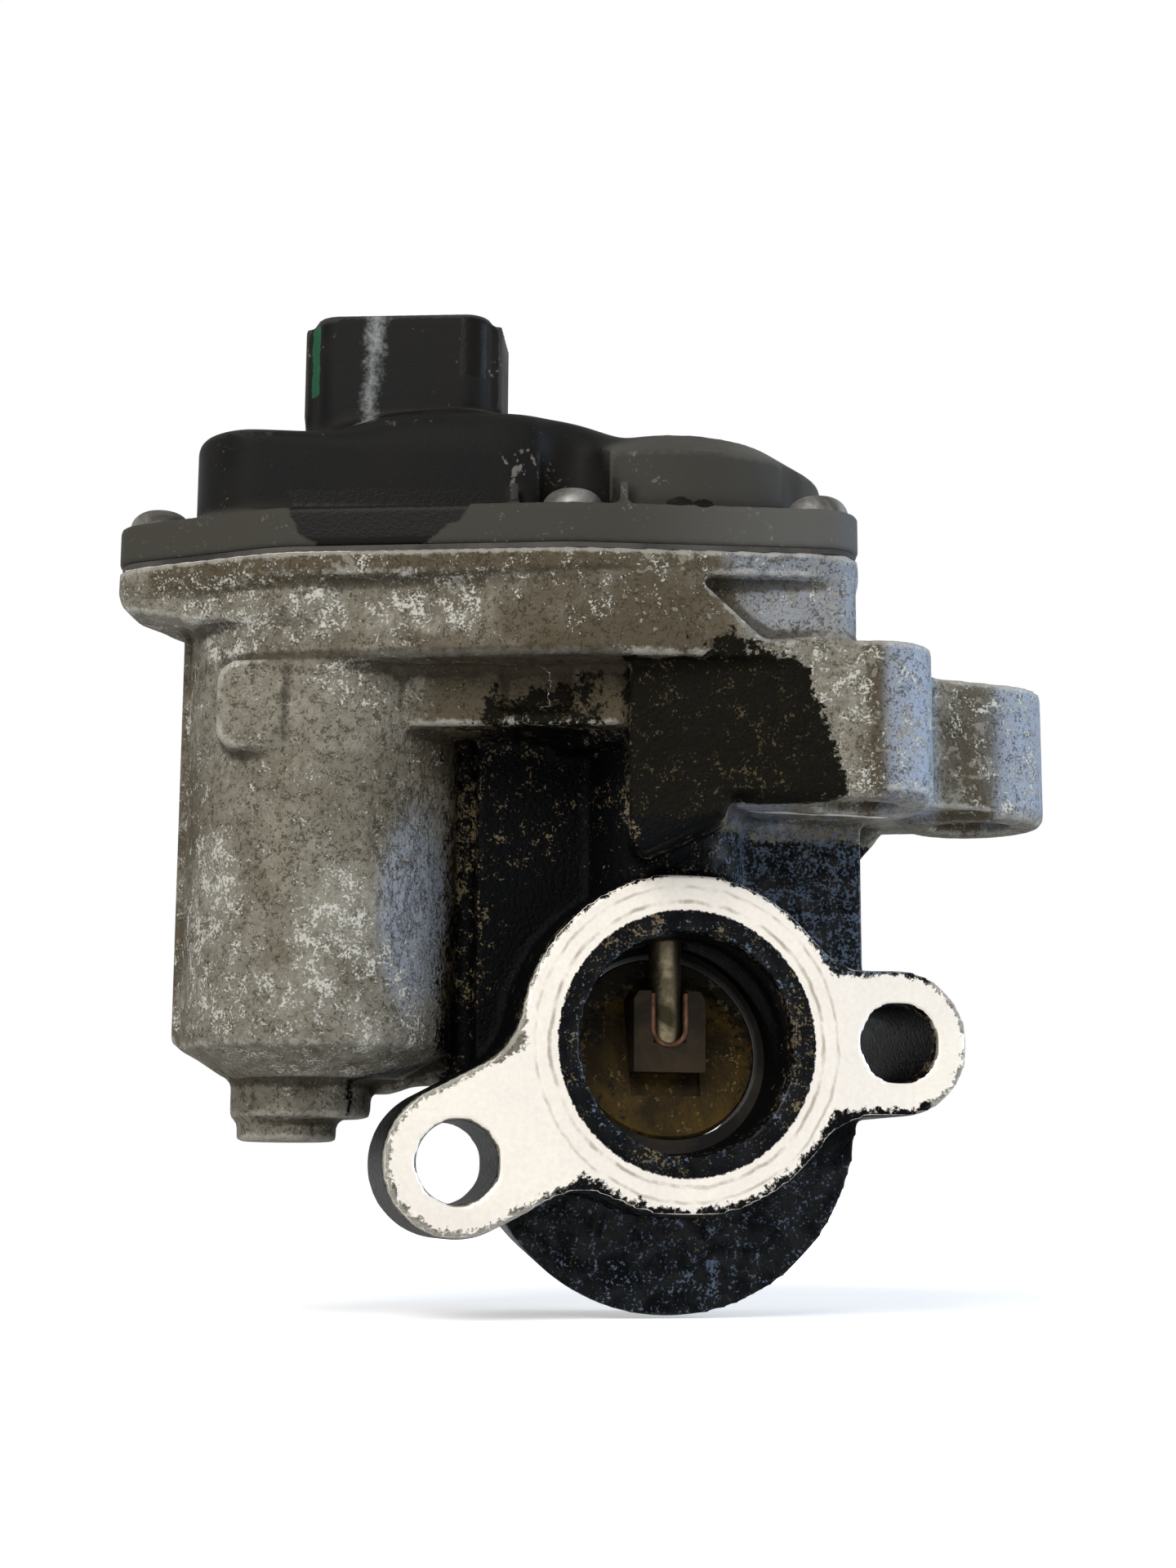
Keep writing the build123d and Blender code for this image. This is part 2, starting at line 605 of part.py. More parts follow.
with BuildPart() as cover:
    extrude(hull(cover_base, left_dome(0)), amount=LEFT_DOME_TOP - cover_base)
    fillet(cover.faces().sort_by(Axis.Z)[-1].edges(), 1.6)
    extrude(disc(cover_base, (0, 0), SHAFT_LOBE_R - 0.2), amount=right_rim - cover_base)
    extrude(disc(right_rim, (0, 0), SHAFT_LOBE_R - 0.2), amount=RIGHT_DOME_SLOPE, taper=55)
    for place in SCREWS:
        extrude(disc(band_top, place, SCREW_POCKET_R), amount=LEFT_DOME_TOP, mode=Mode.SUBTRACT)
    extrude(hull(cover_base, lobes(0) + screw_circles(EAR_R)), amount=BAND_THICK)
    # Low ribs either side of the front screw
    for across in (-6.3, 5.9):
        with BuildSketch(front(SCREWS[1][1] - 3.2)):
            with Locations((SCREWS[1][0] + across, band_top)):
                Rectangle(0.9, 5.0)
        extrude(amount=-9)
    # Connector shroud with its end ribs and base step
    extrude(socket(LEFT_DOME_TOP - 3, 0), amount=CONNECTOR_TOP - LEFT_DOME_TOP + 3)
    extrude(socket(LEFT_DOME_TOP - 3, 0.9), amount=4.0)
    with BuildSketch(deck(LEFT_DOME_TOP - 3)):
        with Locations(CONNECTOR):
            with GridLocations(CONNECTOR_WIDE + 0.8, 0, 2, 1):
                Rectangle(1.6, 8.4)
    extrude(amount=CONNECTOR_TOP - 0.9 - LEFT_DOME_TOP + 3)
    fillet(cover.faces().sort_by(Axis.Z)[-1].edges(), 0.7)
    # Hollows
    extrude(gear_space(cover_base), amount=band_top - 0.5 - cover_base, mode=Mode.SUBTRACT)
    with BuildSketch(deck(band_top - 0.6)):
        for centre, radius in left_dome(COVER_WALL):
            with Locations(centre):
                Circle(radius)
        make_hull()
        with Locations(*SCREWS):
            Circle(SCREW_POCKET_R + COVER_WALL, mode=Mode.SUBTRACT)
    extrude(amount=left_roof - band_top + 0.6, mode=Mode.SUBTRACT)
    with BuildSketch(deck(band_top - 0.6)):
        Circle(SHAFT_LOBE_R - 0.2 - COVER_WALL)
        with Locations(*SCREWS):
            Circle(SCREW_POCKET_R + COVER_WALL, mode=Mode.SUBTRACT)
    extrude(amount=right_roof - band_top + 0.6, mode=Mode.SUBTRACT)
    extrude(socket(socket_floor, -SOCKET_WALL), amount=SOCKET_DEPTH + 1, mode=Mode.SUBTRACT)
    # Boss that steadies the idler pin
    extrude(disc(IDLER_TOP + 0.4, IDLER, 4.0), amount=left_roof - IDLER_TOP)
    extrude(disc(IDLER_TOP, IDLER, PIN_R), amount=PIN_TOP - IDLER_TOP, mode=Mode.SUBTRACT)
    for place in SCREWS:
        extrude(disc(cover_base, place, SCREW_HOLE_R), amount=BAND_THICK, mode=Mode.SUBTRACT)
    slots = terminal_row(left_roof - 1)
    extrude(slots, amount=socket_floor - left_roof + 2, mode=Mode.SUBTRACT)
save(cover, "cover")

with BuildPart() as cover_gasket:
    extrude(hull(DECK_Z, lobes(0.3) + screw_circles(EAR_R - 0.3)), amount=GASKET)
    extrude(gear_space(DECK_Z, 0.3), amount=GASKET, mode=Mode.SUBTRACT)
    for place in SCREWS:
        extrude(disc(DECK_Z, place, SCREW_HOLE_R), amount=GASKET, mode=Mode.SUBTRACT)
save(cover_gasket, "cover_gasket")

with BuildPart() as cover_screws:
    for place in SCREWS:
        with BuildSketch(upright(place)):
            with BuildLine():
                screw_end = DECK_Z - SCREW_REACH
                Line((0, band_top + 2.4), (1.5, band_top + 2.3))
                ThreePointArc((1.5, band_top + 2.3), (2.9, band_top + 1.6), (SCREW_HEAD_R, band_top))
                Polyline(
                    (SCREW_HEAD_R, band_top), (SCREW_R, band_top), (SCREW_R, screw_end), (0, screw_end)
                )
                Line((0, screw_end), (0, band_top + 2.4))
            make_face()
        revolve(axis=upright_axis(place))
        with BuildSketch(deck(band_top + 1.0)):
            with Locations(place):
                RegularPolygon(1.5, 6)
        extrude(amount=2, mode=Mode.SUBTRACT)
save(cover_screws, "cover_screws")

# ---------------------------------------------------------------- connector and sensor
with BuildPart() as connector_terminals:
    strip_top = STRIP_Z + STRIP_THICK
    extrude(terminal_row(strip_top), amount=socket_floor + TERMINAL_LONG - strip_top)
save(connector_terminals, "connector_terminals")


def strip_path(corners, wide=1.6):
    """Sketch of a flat conductor along square corners."""
    with BuildSketch(deck(STRIP_Z)) as outline:
        with BuildLine():
            Polyline(*corners)
        trace(line_width=wide)
    return outline.sketch


terminal_u = [CONNECTOR[0] + (i - 2) * TERMINAL_PITCH for i in range(TERMINALS)]
with BuildPart() as power_strips:
    for (tab_u, tab_v), start in zip(POWER_TABS, terminal_u):
        corners = [(start, CONNECTOR[1]), (start, tab_v), (tab_u - 0.8, tab_v)]
        extrude(strip_path(corners), amount=STRIP_THICK)
save(power_strips, "power_strips")

with BuildPart() as signal_strips:
    for lane, start in enumerate(terminal_u[:1:-1]):
        aside = CONNECTOR[1] - 1.4 - 2.3 * lane
        corners = [(start, CONNECTOR[1]), (start, aside), (-8.8, aside)]
        extrude(strip_path(corners, 1.3), amount=STRIP_THICK)
save(signal_strips, "signal_strips")

with BuildPart() as sensor_board:
    extrude(hull(STRIP_Z - BOARD_THICK, [((0, 0), 6.0), ((-6.0, -7.4), 4.0)]), amount=BOARD_THICK)
save(sensor_board, "sensor_board")

with BuildPart() as hall_sensor:
    with BuildSketch(deck(STRIP_Z - BOARD_THICK)):
        Rectangle(4.9, 3.9)
    extrude(amount=-1.3)
save(hall_sensor, "hall_sensor")

# ---------------------------------------------------------------- motor
plate_z = TRAY_FLOOR
with BuildPart() as motor_can:
    extrude(disc(CAN_Z, MOTOR, CAN_R), amount=CAN_TOP - CAN_Z)
    chamfer(motor_can.faces().sort_by(Axis.Z)[0].edges(), CAN_CORNER)
    extrude(disc(CAN_Z - CAN_NOSE, MOTOR, CAN_NOSE_R), amount=CAN_NOSE + CAN_WALL)
    inside_r = CAN_R - CAN_WALL
    floor_z = CAN_Z + CAN_WALL
    floor_r = inside_r - CAN_CORNER + CAN_WALL / 2
    slope = inside_r - floor_r
    extrude(disc(floor_z, MOTOR, floor_r), amount=slope, taper=-45, mode=Mode.SUBTRACT)
    extrude(disc(floor_z + slope, MOTOR, inside_r), amount=CAN_TOP, mode=Mode.SUBTRACT)
    nose_pocket = disc(CAN_Z - CAN_NOSE + CAN_WALL, MOTOR, CAN_NOSE_R - CAN_WALL - 0.1)
    extrude(nose_pocket, amount=CAN_NOSE + CAN_WALL, mode=Mode.SUBTRACT)
save(motor_can, "motor_can")

with BuildPart() as wave_washer:
    extrude(ring(WELL_BOTTOM, MOTOR, 9.8, 6.0), amount=CAN_Z - WELL_BOTTOM)
save(wave_washer, "wave_washer")

with BuildPart() as motor_magnets:
    extrude(ring(FIELD_Z, MOTOR, CAN_R - CAN_WALL, FIELD_BORE_R), amount=FIELD_LONG)
    with BuildSketch(deck(FIELD_Z)):
        with Locations(MOTOR):
            Rectangle(FIELD_SPLIT, 3 * CAN_R)
    extrude(amount=FIELD_LONG, mode=Mode.SUBTRACT)
save(motor_magnets, "motor_magnets")

with BuildPart() as armature_core:
    with BuildSketch(deck(CORE_Z)):
        with Locations(MOTOR):
            Circle(CORE_R)
            Circle(MOTOR_SHAFT_R, mode=Mode.SUBTRACT)
            with PolarLocations(CORE_R - 2.7, CORE_SLOTS):
                Rectangle(5.4, 2.2, mode=Mode.SUBTRACT)
    extrude(amount=CORE_LONG)
save(armature_core, "armature_core")

with BuildPart() as armature_windings:
    for height in (CORE_Z - WINDING_END, CORE_Z + CORE_LONG):
        extrude(ring(height, MOTOR, WINDING_R, BUSHING_R), amount=WINDING_END)
    with BuildSketch(deck(CORE_Z - 0.5)):
        with Locations(MOTOR):
            with PolarLocations(WINDING_R - 2.1, CORE_SLOTS):
                Rectangle(4.2, 2.2)
    extrude(amount=CORE_LONG + 1)
save(armature_windings, "armature_windings")

with BuildPart() as commutator:
    extrude(ring(COMMUTATOR_Z, MOTOR, COMMUTATOR_R, MOTOR_SHAFT_R), amount=COMMUTATOR_LONG)
    with BuildSketch(deck(COMMUTATOR_Z)):
        with Locations(MOTOR):
            with PolarLocations(COMMUTATOR_R - 0.1, CORE_SLOTS, 36):
                Rectangle(1.0, 0.5)
    extrude(amount=COMMUTATOR_LONG, mode=Mode.SUBTRACT)
save(commutator, "commutator")

with BuildPart() as motor_shaft:
    shaft_z = CAN_Z - BUSHING_LONG
    extrude(disc(shaft_z, MOTOR, MOTOR_SHAFT_R), amount=PINION_Z + PINION_THICK + 0.8 - shaft_z)
save(motor_shaft, "motor_shaft")

bush_bore = MOTOR_SHAFT_R + RUNNING_GAP
with BuildPart() as motor_bushes:
    extrude(ring(CAN_Z - BUSHING_LONG - 0.4, MOTOR, BUSHING_R, bush_bore), amount=BUSHING_LONG)
    bush_top = plate_z + PLATE_THICK
    extrude(ring(UPPER_BUSHING_Z, MOTOR, BUSHING_R, bush_bore), amount=bush_top - UPPER_BUSHING_Z)
save(motor_bushes, "motor_bushes")

with BuildPart() as brush_holder:
    holder_r = CAN_R - CAN_WALL - HOLDER_GAP
    extrude(disc(CAN_TOP, MOTOR, CAN_R - HOLDER_GAP), amount=plate_z - CAN_TOP)
    extrude(ring(HOLDER_Z, MOTOR, holder_r, HOLDER_BORE_R), amount=CAN_TOP - HOLDER_Z)
    extrude(disc(CAN_TOP - 1.6, MOTOR, holder_r), amount=1.6)
    extrude(disc(CAN_TOP - 2, MOTOR, BUSHING_R), amount=6, mode=Mode.SUBTRACT)
    with BuildSketch(deck(CAN_TOP - 5)):
        with Locations(*POWER_TABS):
            Rectangle(TAB_WIDE, TAB_THICK)
    extrude(amount=10, mode=Mode.SUBTRACT)
save(brush_holder, "brush_holder")

with BuildPart() as motor_brushes:
    with BuildSketch(deck(BRUSH_Z)):
        with Locations(MOTOR):
            with PolarLocations(COMMUTATOR_R + 0.1 + BRUSH_LONG / 2, 2, 90):
                Rectangle(BRUSH_LONG, BRUSH_WIDE)
    extrude(amount=BRUSH_HIGH)
save(motor_brushes, "motor_brushes")

with BuildPart() as motor_tabs:
    with BuildSketch(deck(TAB_Z)):
        with Locations(*POWER_TABS):
            Rectangle(TAB_WIDE, TAB_THICK)
    extrude(amount=STRIP_Z - TAB_Z)
save(motor_tabs, "motor_tabs")

with BuildPart() as motor_plate:
    ears = [(place, 3.1) for place in MOTOR_SCREWS]
    extrude(hull(plate_z, [(MOTOR, WELL_R)] + ears), amount=PLATE_THICK)
    extrude(gear_space(plate_z, -0.3), amount=PLATE_THICK, mode=Mode.INTERSECT)
    extrude(disc(plate_z, MOTOR, BUSHING_R), amount=PLATE_THICK, mode=Mode.SUBTRACT)
    for place in MOTOR_SCREWS:
        extrude(disc(plate_z, place, MOTOR_SCREW_R + 0.25), amount=PLATE_THICK, mode=Mode.SUBTRACT)
    with BuildSketch(deck(plate_z)):
        with Locations(*POWER_TABS):
            RectangleRounded(TAB_WIDE + 2, TAB_THICK + 2, 0.8)
    extrude(amount=PLATE_THICK, mode=Mode.SUBTRACT)
save(motor_plate, "motor_plate")

with BuildPart() as motor_screws:
    for place in MOTOR_SCREWS:
        head_z = plate_z + PLATE_THICK
        extrude(disc(head_z, place, MOTOR_SCREW_HEAD_R), amount=1.8)
        extrude(disc(head_z - MOTOR_SCREW_LONG, place, MOTOR_SCREW_R), amount=MOTOR_SCREW_LONG)
        with BuildSketch(deck(head_z + 0.8)):
            with Locations(place):
                RegularPolygon(1.2, 6)
        extrude(amount=2, mode=Mode.SUBTRACT)
save(motor_screws, "motor_screws")

with BuildPart() as motor_pinion:
    half_pitch = 180 / PINION_TEETH
    first = DRIVE_ANGLE + 180 + half_pitch
    extrude(full_gear(PINION_Z, MOTOR, PINION_TEETH, first), amount=PINION_THICK)
    extrude(disc(PINION_Z, MOTOR, MOTOR_SHAFT_R), amount=PINION_THICK, mode=Mode.SUBTRACT)
save(motor_pinion, "motor_pinion")

# ---------------------------------------------------------------- idler gear on its pin
with BuildPart() as idler_pin:
    extrude(disc(PIN_Z, IDLER, PIN_R), amount=PIN_TOP - PIN_Z)
    chamfer(idler_pin.edges().filter_by(GeomType.CIRCLE), 0.3)
save(idler_pin, "idler_pin")

with BuildPart() as thrust_washer:
    extrude(ring(TRAY_FLOOR, IDLER, 3.3, PIN_R), amount=IDLER_Z - 0.1 - TRAY_FLOOR)
save(thrust_washer, "thrust_washer")

with BuildPart() as idler_gear:
    half_pitch = 180 / IDLER_TEETH
    first = MESH_ANGLE + 180 + half_pitch
    extrude(full_gear(IDLER_Z, IDLER, IDLER_TEETH, first), amount=WHEEL_Z - IDLER_Z)
    extrude(full_gear(WHEEL_Z, IDLER, WHEEL_TEETH, DRIVE_ANGLE), amount=WHEEL_THICK)
    extrude(disc(WHEEL_Z, IDLER, 4.2), amount=IDLER_TOP - WHEEL_Z)
    # Thinned web, leaving the rim and hub at full width
    for height in (WHEEL_Z - 0.2, WHEEL_Z + WHEEL_THICK - 1.1):
        extrude(ring(height, IDLER, 12.4, 6.4), amount=1.3, mode=Mode.SUBTRACT)
    with BuildSketch(deck(WHEEL_Z)):
        with Locations(IDLER):
            with PolarLocations(9.4, 6):
                Circle(2.0)
    extrude(amount=WHEEL_THICK, mode=Mode.SUBTRACT)
    bore = PIN_R + RUNNING_GAP
    extrude(disc(IDLER_Z, IDLER, bore), amount=IDLER_TOP - IDLER_Z, mode=Mode.SUBTRACT)
save(idler_gear, "idler_gear")

# ---------------------------------------------------------------- flap shaft line
with BuildPart() as sector_gear:
    first = MESH_ANGLE - FLAP_TRAVEL / 2 - (SECTOR_CUT - 1) * 180 / SECTOR_TEETH
    with BuildSketch(deck(SECTOR_Z)):
        Polygon(*gear_points(SECTOR_TEETH, first, SECTOR_CUT), (0, 0), align=None)
    extrude(amount=SECTOR_THICK)
    for height in (SECTOR_Z - 0.2, SECTOR_Z + SECTOR_THICK - 1.5):
        extrude(ring(height, (0, 0), 11.2, 6.6), amount=1.7, mode=Mode.SUBTRACT)
    extrude(disc(TRAY_FLOOR + 0.4, (0, 0), SECTOR_HUB_R), amount=SHAFT_TOP - TRAY_FLOOR - 0.4)
    extrude(disc(TRAY_FLOOR, (0, 0), SHAFT_R), amount=20, mode=Mode.SUBTRACT)
save(sector_gear, "sector_gear")

with BuildPart() as sensor_magnet:
    extrude(disc(SHAFT_TOP, (0, 0), MAGNET_R), amount=MAGNET_LONG)
    chamfer(sensor_magnet.edges().sort_by(Axis.Z)[-1], 0.4)
save(sensor_magnet, "sensor_magnet")

with BuildPart() as valve_shaft:
    extrude(disc(NECK_TOP, (0, 0), SHAFT_R), amount=SHAFT_TOP - NECK_TOP)
    chamfer(valve_shaft.edges().sort_by(Axis.Z)[0], 0.6)
    extrude(disc(NECK_BOTTOM, (0, 0), NECK_R), amount=NECK_TOP - NECK_BOTTOM)
save(valve_shaft, "valve_shaft")

with BuildPart() as shaft_spacer:
    spacer_z = BEARING_Z + BEARING_WIDE
    extrude(ring(spacer_z, (0, 0), SPACER_R, SHAFT_R), amount=TRAY_FLOOR + 0.4 - spacer_z)
save(shaft_spacer, "shaft_spacer")

with BuildPart() as lower_bush:
    extrude(ring(BUSH_Z, (0, 0), BUSH_R, SHAFT_R + RUNNING_GAP), amount=BUSH_LONG)
save(lower_bush, "lower_bush")

with BuildPart() as shaft_seal:
    with BuildSketch(upright((0, 0))):
        with BuildLine():
            lip = SHAFT_R + RUNNING_GAP
            Polyline(
                (SEAL_R, SEAL_Z), (SEAL_R, SEAL_Z + SEAL_THICK), (4.0, SEAL_Z + SEAL_THICK),
                (lip, SEAL_Z + 1.2), (lip, SEAL_Z + 0.5), (4.4, SEAL_Z), (SEAL_R, SEAL_Z),
            )
        make_face()
    revolve(axis=upright_axis((0, 0)))
save(shaft_seal, "shaft_seal")

with BuildPart() as bearing_outer_ring:
    extrude(ring(BEARING_Z, (0, 0), BEARING_R, TRACK_R + ROLLER_R + ROLLER_GAP), amount=BEARING_WIDE)
save(bearing_outer_ring, "bearing_outer_ring")

with BuildPart() as bearing_inner_ring:
    extrude(ring(BEARING_Z, (0, 0), TRACK_R - ROLLER_R - ROLLER_GAP, SHAFT_R), amount=BEARING_WIDE)
save(bearing_inner_ring, "bearing_inner_ring")

with BuildPart() as bearing_rollers:
    with BuildSketch(deck(BEARING_Z + 0.5)):
        with PolarLocations(TRACK_R, ROLLERS):
            Circle(ROLLER_R)
    extrude(amount=BEARING_WIDE - 1.0)
save(bearing_rollers, "bearing_rollers")

with BuildPart() as return_spring:
    coil_top = COIL_Z + COIL_PITCH * COIL_TURNS
    with BuildLine(deck(COIL_Z)) as coil:
        Helix(COIL_PITCH, COIL_PITCH * COIL_TURNS, COIL_R)
    turns = coil.wires()[0]
    with BuildSketch(Plane(origin=turns @ 0, z_dir=turns % 0)):
        Circle(WIRE_R)
    sweep(path=turns, is_frenet=True)
    # Upright leg that the sector gear pushes on
    with BuildSketch(deck(coil_top)):
        with Locations((-COIL_R, 0)):
            Circle(WIRE_R)
    extrude(amount=SECTOR_Z - 0.3 - coil_top)
save(return_spring, "return_spring")

# ---------------------------------------------------------------- flap and seat
with BuildPart() as valve_disc:
    with BuildSketch(DISC):
        Circle(DISC_R)
    extrude(amount=DISC_THICK / 2, both=True)
    chamfer(valve_disc.edges().filter_by(GeomType.CIRCLE), 0.25)
    # Groove that the shaft end lies in, and the pressed recess under the saddle
    extrude(disc(NECK_BOTTOM, (0, 0), NECK_R + 0.02), amount=DISC_R, mode=Mode.SUBTRACT)
    with BuildSketch(DISC.offset(DISC_THICK / 2)):
        with Locations((0, SADDLE_LOW - 1.7)):
            Rectangle(SADDLE_WIDE - 0.2, 2.8)
    extrude(amount=-0.6, mode=Mode.SUBTRACT)
save(valve_disc, "valve_disc")

with BuildPart() as seat_ring:
    with BuildSketch(DISC):
        Circle(2 * PASSAGE_R)
    extrude(amount=SEAT_THICK / 2, both=True)
    with BuildSketch(PORT):
        Circle(PASSAGE_R)
    extrude(amount=-BODY_REAR, mode=Mode.INTERSECT)
    with BuildSketch(DISC):
        Circle(SEAT_R)
    extrude(amount=SEAT_THICK, both=True, mode=Mode.SUBTRACT)
save(seat_ring, "seat_ring")

with BuildPart() as disc_saddle:
    with BuildSketch(port(SHAFT_DEPTH - SADDLE_FRONT)):
        with BuildLine():
            half = SADDLE_WIDE / 2
            slot = NECK_R + 0.05
            Polyline(
                (-half, SADDLE_LOW), (half, SADDLE_LOW), (half, SADDLE_HIGH - 1),
                (half - 0.6, SADDLE_HIGH),
                (slot + 0.3, SADDLE_HIGH), (slot, SADDLE_HIGH - 0.6), (slot, NECK_BOTTOM),
                (-slot, NECK_BOTTOM), (-slot, SADDLE_HIGH - 0.6), (-slot - 0.3, SADDLE_HIGH),
                (0.6 - half, SADDLE_HIGH), (-half, SADDLE_HIGH - 1), (-half, SADDLE_LOW),
            )
        make_face()
    extrude(amount=-9)
    with BuildSketch(DISC.offset(DISC_THICK / 2)):
        Rectangle(4 * half, 8 * half)
    extrude(amount=-12, mode=Mode.SUBTRACT)
save(disc_saddle, "disc_saddle")
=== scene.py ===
import logging
import math
from dataclasses import dataclass, field
from enum import Enum
from functools import cached_property

import bpy
import numpy as np
from mathutils import Matrix, Vector


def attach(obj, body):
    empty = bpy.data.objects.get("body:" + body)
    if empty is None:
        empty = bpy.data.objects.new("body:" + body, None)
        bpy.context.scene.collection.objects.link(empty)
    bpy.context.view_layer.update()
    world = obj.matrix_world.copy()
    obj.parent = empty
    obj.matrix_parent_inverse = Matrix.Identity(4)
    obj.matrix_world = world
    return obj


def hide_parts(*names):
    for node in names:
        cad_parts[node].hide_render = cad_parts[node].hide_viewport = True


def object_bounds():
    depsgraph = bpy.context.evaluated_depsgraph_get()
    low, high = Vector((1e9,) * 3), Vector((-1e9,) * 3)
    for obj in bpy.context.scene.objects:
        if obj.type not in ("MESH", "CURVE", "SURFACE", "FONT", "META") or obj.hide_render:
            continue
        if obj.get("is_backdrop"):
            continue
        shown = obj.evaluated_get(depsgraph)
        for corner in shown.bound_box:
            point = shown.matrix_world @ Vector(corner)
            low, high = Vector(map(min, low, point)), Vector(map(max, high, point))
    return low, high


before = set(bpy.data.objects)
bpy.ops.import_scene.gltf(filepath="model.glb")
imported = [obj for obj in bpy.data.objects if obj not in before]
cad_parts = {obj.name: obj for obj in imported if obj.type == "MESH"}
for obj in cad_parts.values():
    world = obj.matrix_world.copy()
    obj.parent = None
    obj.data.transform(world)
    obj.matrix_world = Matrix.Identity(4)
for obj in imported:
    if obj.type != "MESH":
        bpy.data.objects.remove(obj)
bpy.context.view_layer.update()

log = logging.getLogger("egr_valve")

MM = 0.001
MERGED_WITHIN = 0.002 * MM          # triangle corners nearer than this become one point
LEAST_WEIGHT = 0.02                 # points with less than this stay out of a vertex group
DECK_TURN = math.radians(-17.0)     # turn of the gearbox about the flap shaft
SHAFT_DEPTH = 10.0                  # the flap shaft behind the flange's face, in millimetres
Span = tuple[float, float]
Colour = tuple[float, float, float]
Point = tuple[float, float, float]
Socket = bpy.types.NodeSocket


class Space(Enum):
    """The coordinates that a painted field is given in."""

    FLANGE = "square to the inlet flange"
    GEARBOX = "square to the gearbox, from the flap shaft"


# ------------------------------------------------------------------ shader helpers
class Shader:
    """A node tree with short calls for the nodes that the finishes share."""

    def __init__(self, tree: bpy.types.NodeTree) -> None:
        """Work on a tree.

        Args:
            tree: the node tree of a material or a node group.
        """
        self.tree = tree
        self._coords: Socket | None = None

    def node(self, kind: str, **settings: object) -> bpy.types.Node:
        """Add a node.

        Args:
            kind: the node's type name.
            **settings: attributes set on the node.

        Returns:
            The new node.
        """
        new = self.tree.nodes.new(kind)
        for name, value in settings.items():
            setattr(new, name, value)
        return new

    def plug(self, target: Socket, value: object) -> None:
        """Link a socket to an input, or set the input to a plain value.

        Args:
            target: the input socket.
            value: an output socket, a number, a colour or a vector.
        """
        if isinstance(value, bpy.types.NodeSocket):
            self.tree.links.new(value, target)
        elif target.type == "RGBA" and len(value) == 3:
            target.default_value = (*value, 1.0)
        else:
            target.default_value = value

    def feed(self, node: bpy.types.Node, inputs: dict) -> None:
        """Plug the inputs of a node, given by name or number."""
        for name, value in inputs.items():
            self.plug(node.inputs[name], value)

    def made(self, kind: str, inputs: dict, output: str | int = 0, **settings: object) -> Socket:
        """Add a node and plug its inputs.

        Args:
            kind: the node's type name.
            inputs: sockets or plain values by the input's name or number.
            output: name or number of the output wanted.
            **settings: attributes set on the node.

        Returns:
            The output.
        """
        new = self.node(kind, **settings)
        self.feed(new, inputs)
        return new.outputs[output]

    @property
    def coords(self) -> Socket:
        """Object coordinates, in metres."""
        if self._coords is None:
            self._coords = self.node("ShaderNodeTexCoord").outputs["Object"]
        return self._coords

    def painted(self, name: str) -> Socket:
        """Value of the painted field of that name, which is kept on the mesh."""
        return self.node("ShaderNodeAttribute", attribute_name=name).outputs["Fac"]

    def noise(self, scale: object, detail: float = 5.0, rough: float = 0.55, warp: float = 0.0,
              where: Socket | None = None) -> Socket:
        """Fractal noise.

        Args:
            scale: cells to a metre.
            detail: octaves.
            rough: weight of the finer octaves.
            warp: distortion.
            where: the coordinates, or Object coordinates if none are given.

        Returns:
            The noise value, about 0.5 on average.
        """
        return self.made("ShaderNodeTexNoise", {
            "Vector": where or self.coords, "Scale": scale, "Detail": detail, "Roughness": rough,
            "Distortion": warp}, "Fac")

    def cells(self, scale: object) -> Socket:
        """Distance, in cell sizes, to the nearest point of a scatter with scale cells to a metre."""
        return self.made("ShaderNodeTexVoronoi", {"Vector": self.coords, "Scale": scale}, "Distance")

    def mapped(self, scale: Point, shift: Point = (0.0, 0.0, 0.0)) -> Socket:
        """Object coordinates with each axis scaled and then shifted, in metres."""
        return self.made("ShaderNodeMapping", {"Vector": self.coords, "Location": shift, "Scale": scale},
                         vector_type="POINT")

    def radius(self, centre: Point, squash: Point) -> Socket:
        """Distance from a point, with each axis weighted.

        Args:
            centre: the point in millimetres.
            squash: weight of each axis, 0 to leave it out.

        Returns:
            The distance in metres.
        """
        away = self.mapped(squash, tuple(-c * MM * s for c, s in zip(centre, squash)))
        return self.made("ShaderNodeVectorMath", {0: away}, "Value", operation="LENGTH")

    def part(self, axis: int) -> Socket:
        """One of the Object coordinates, in metres, for axis 0, 1 or 2."""
        return self.made("ShaderNodeSeparateXYZ", {0: self.coords}, axis)

    def sums(self, operation: str, *values: object) -> Socket:
        """Result of a Math node with that operation and those inputs."""
        return self.made("ShaderNodeMath", dict(enumerate(values)), operation=operation)

    def step(self, value: Socket, low: object, high: object, smooth: bool = True) -> Socket:
        """A value that goes from 0 at low to 1 at high.

        Args:
            value: the value to map.
            low: where the result is 0.
            high: where the result is 1, which may lie below low.
            smooth: ease both ends.

        Returns:
            The mapped value.
        """
        return self.made("ShaderNodeMapRange", {"Value": value, "From Min": low, "From Max": high}, "Result",
                         clamp=True, interpolation_type="SMOOTHSTEP" if smooth else "LINEAR")

    def blend(self, share: object, first: object, second: object) -> Socket:
        """Mix two colours, with that share of the second."""
        return self.made("ShaderNodeMix", {0: share, 6: first, 7: second}, 2, data_type="RGBA")

    def level(self, share: object, first: object, second: object) -> Socket:
        """Mix two numbers, with that share of the second."""
        return self.made("ShaderNodeMix", {0: share, 2: first, 3: second}, data_type="FLOAT")

    def laid(self, below: object, mask: Socket, share: float, colour: Colour) -> Socket:
        """Lay a colour over the one below where the mask is, covering no more than that share."""
        return self.blend(self.sums("MULTIPLY", mask, share), below, colour)

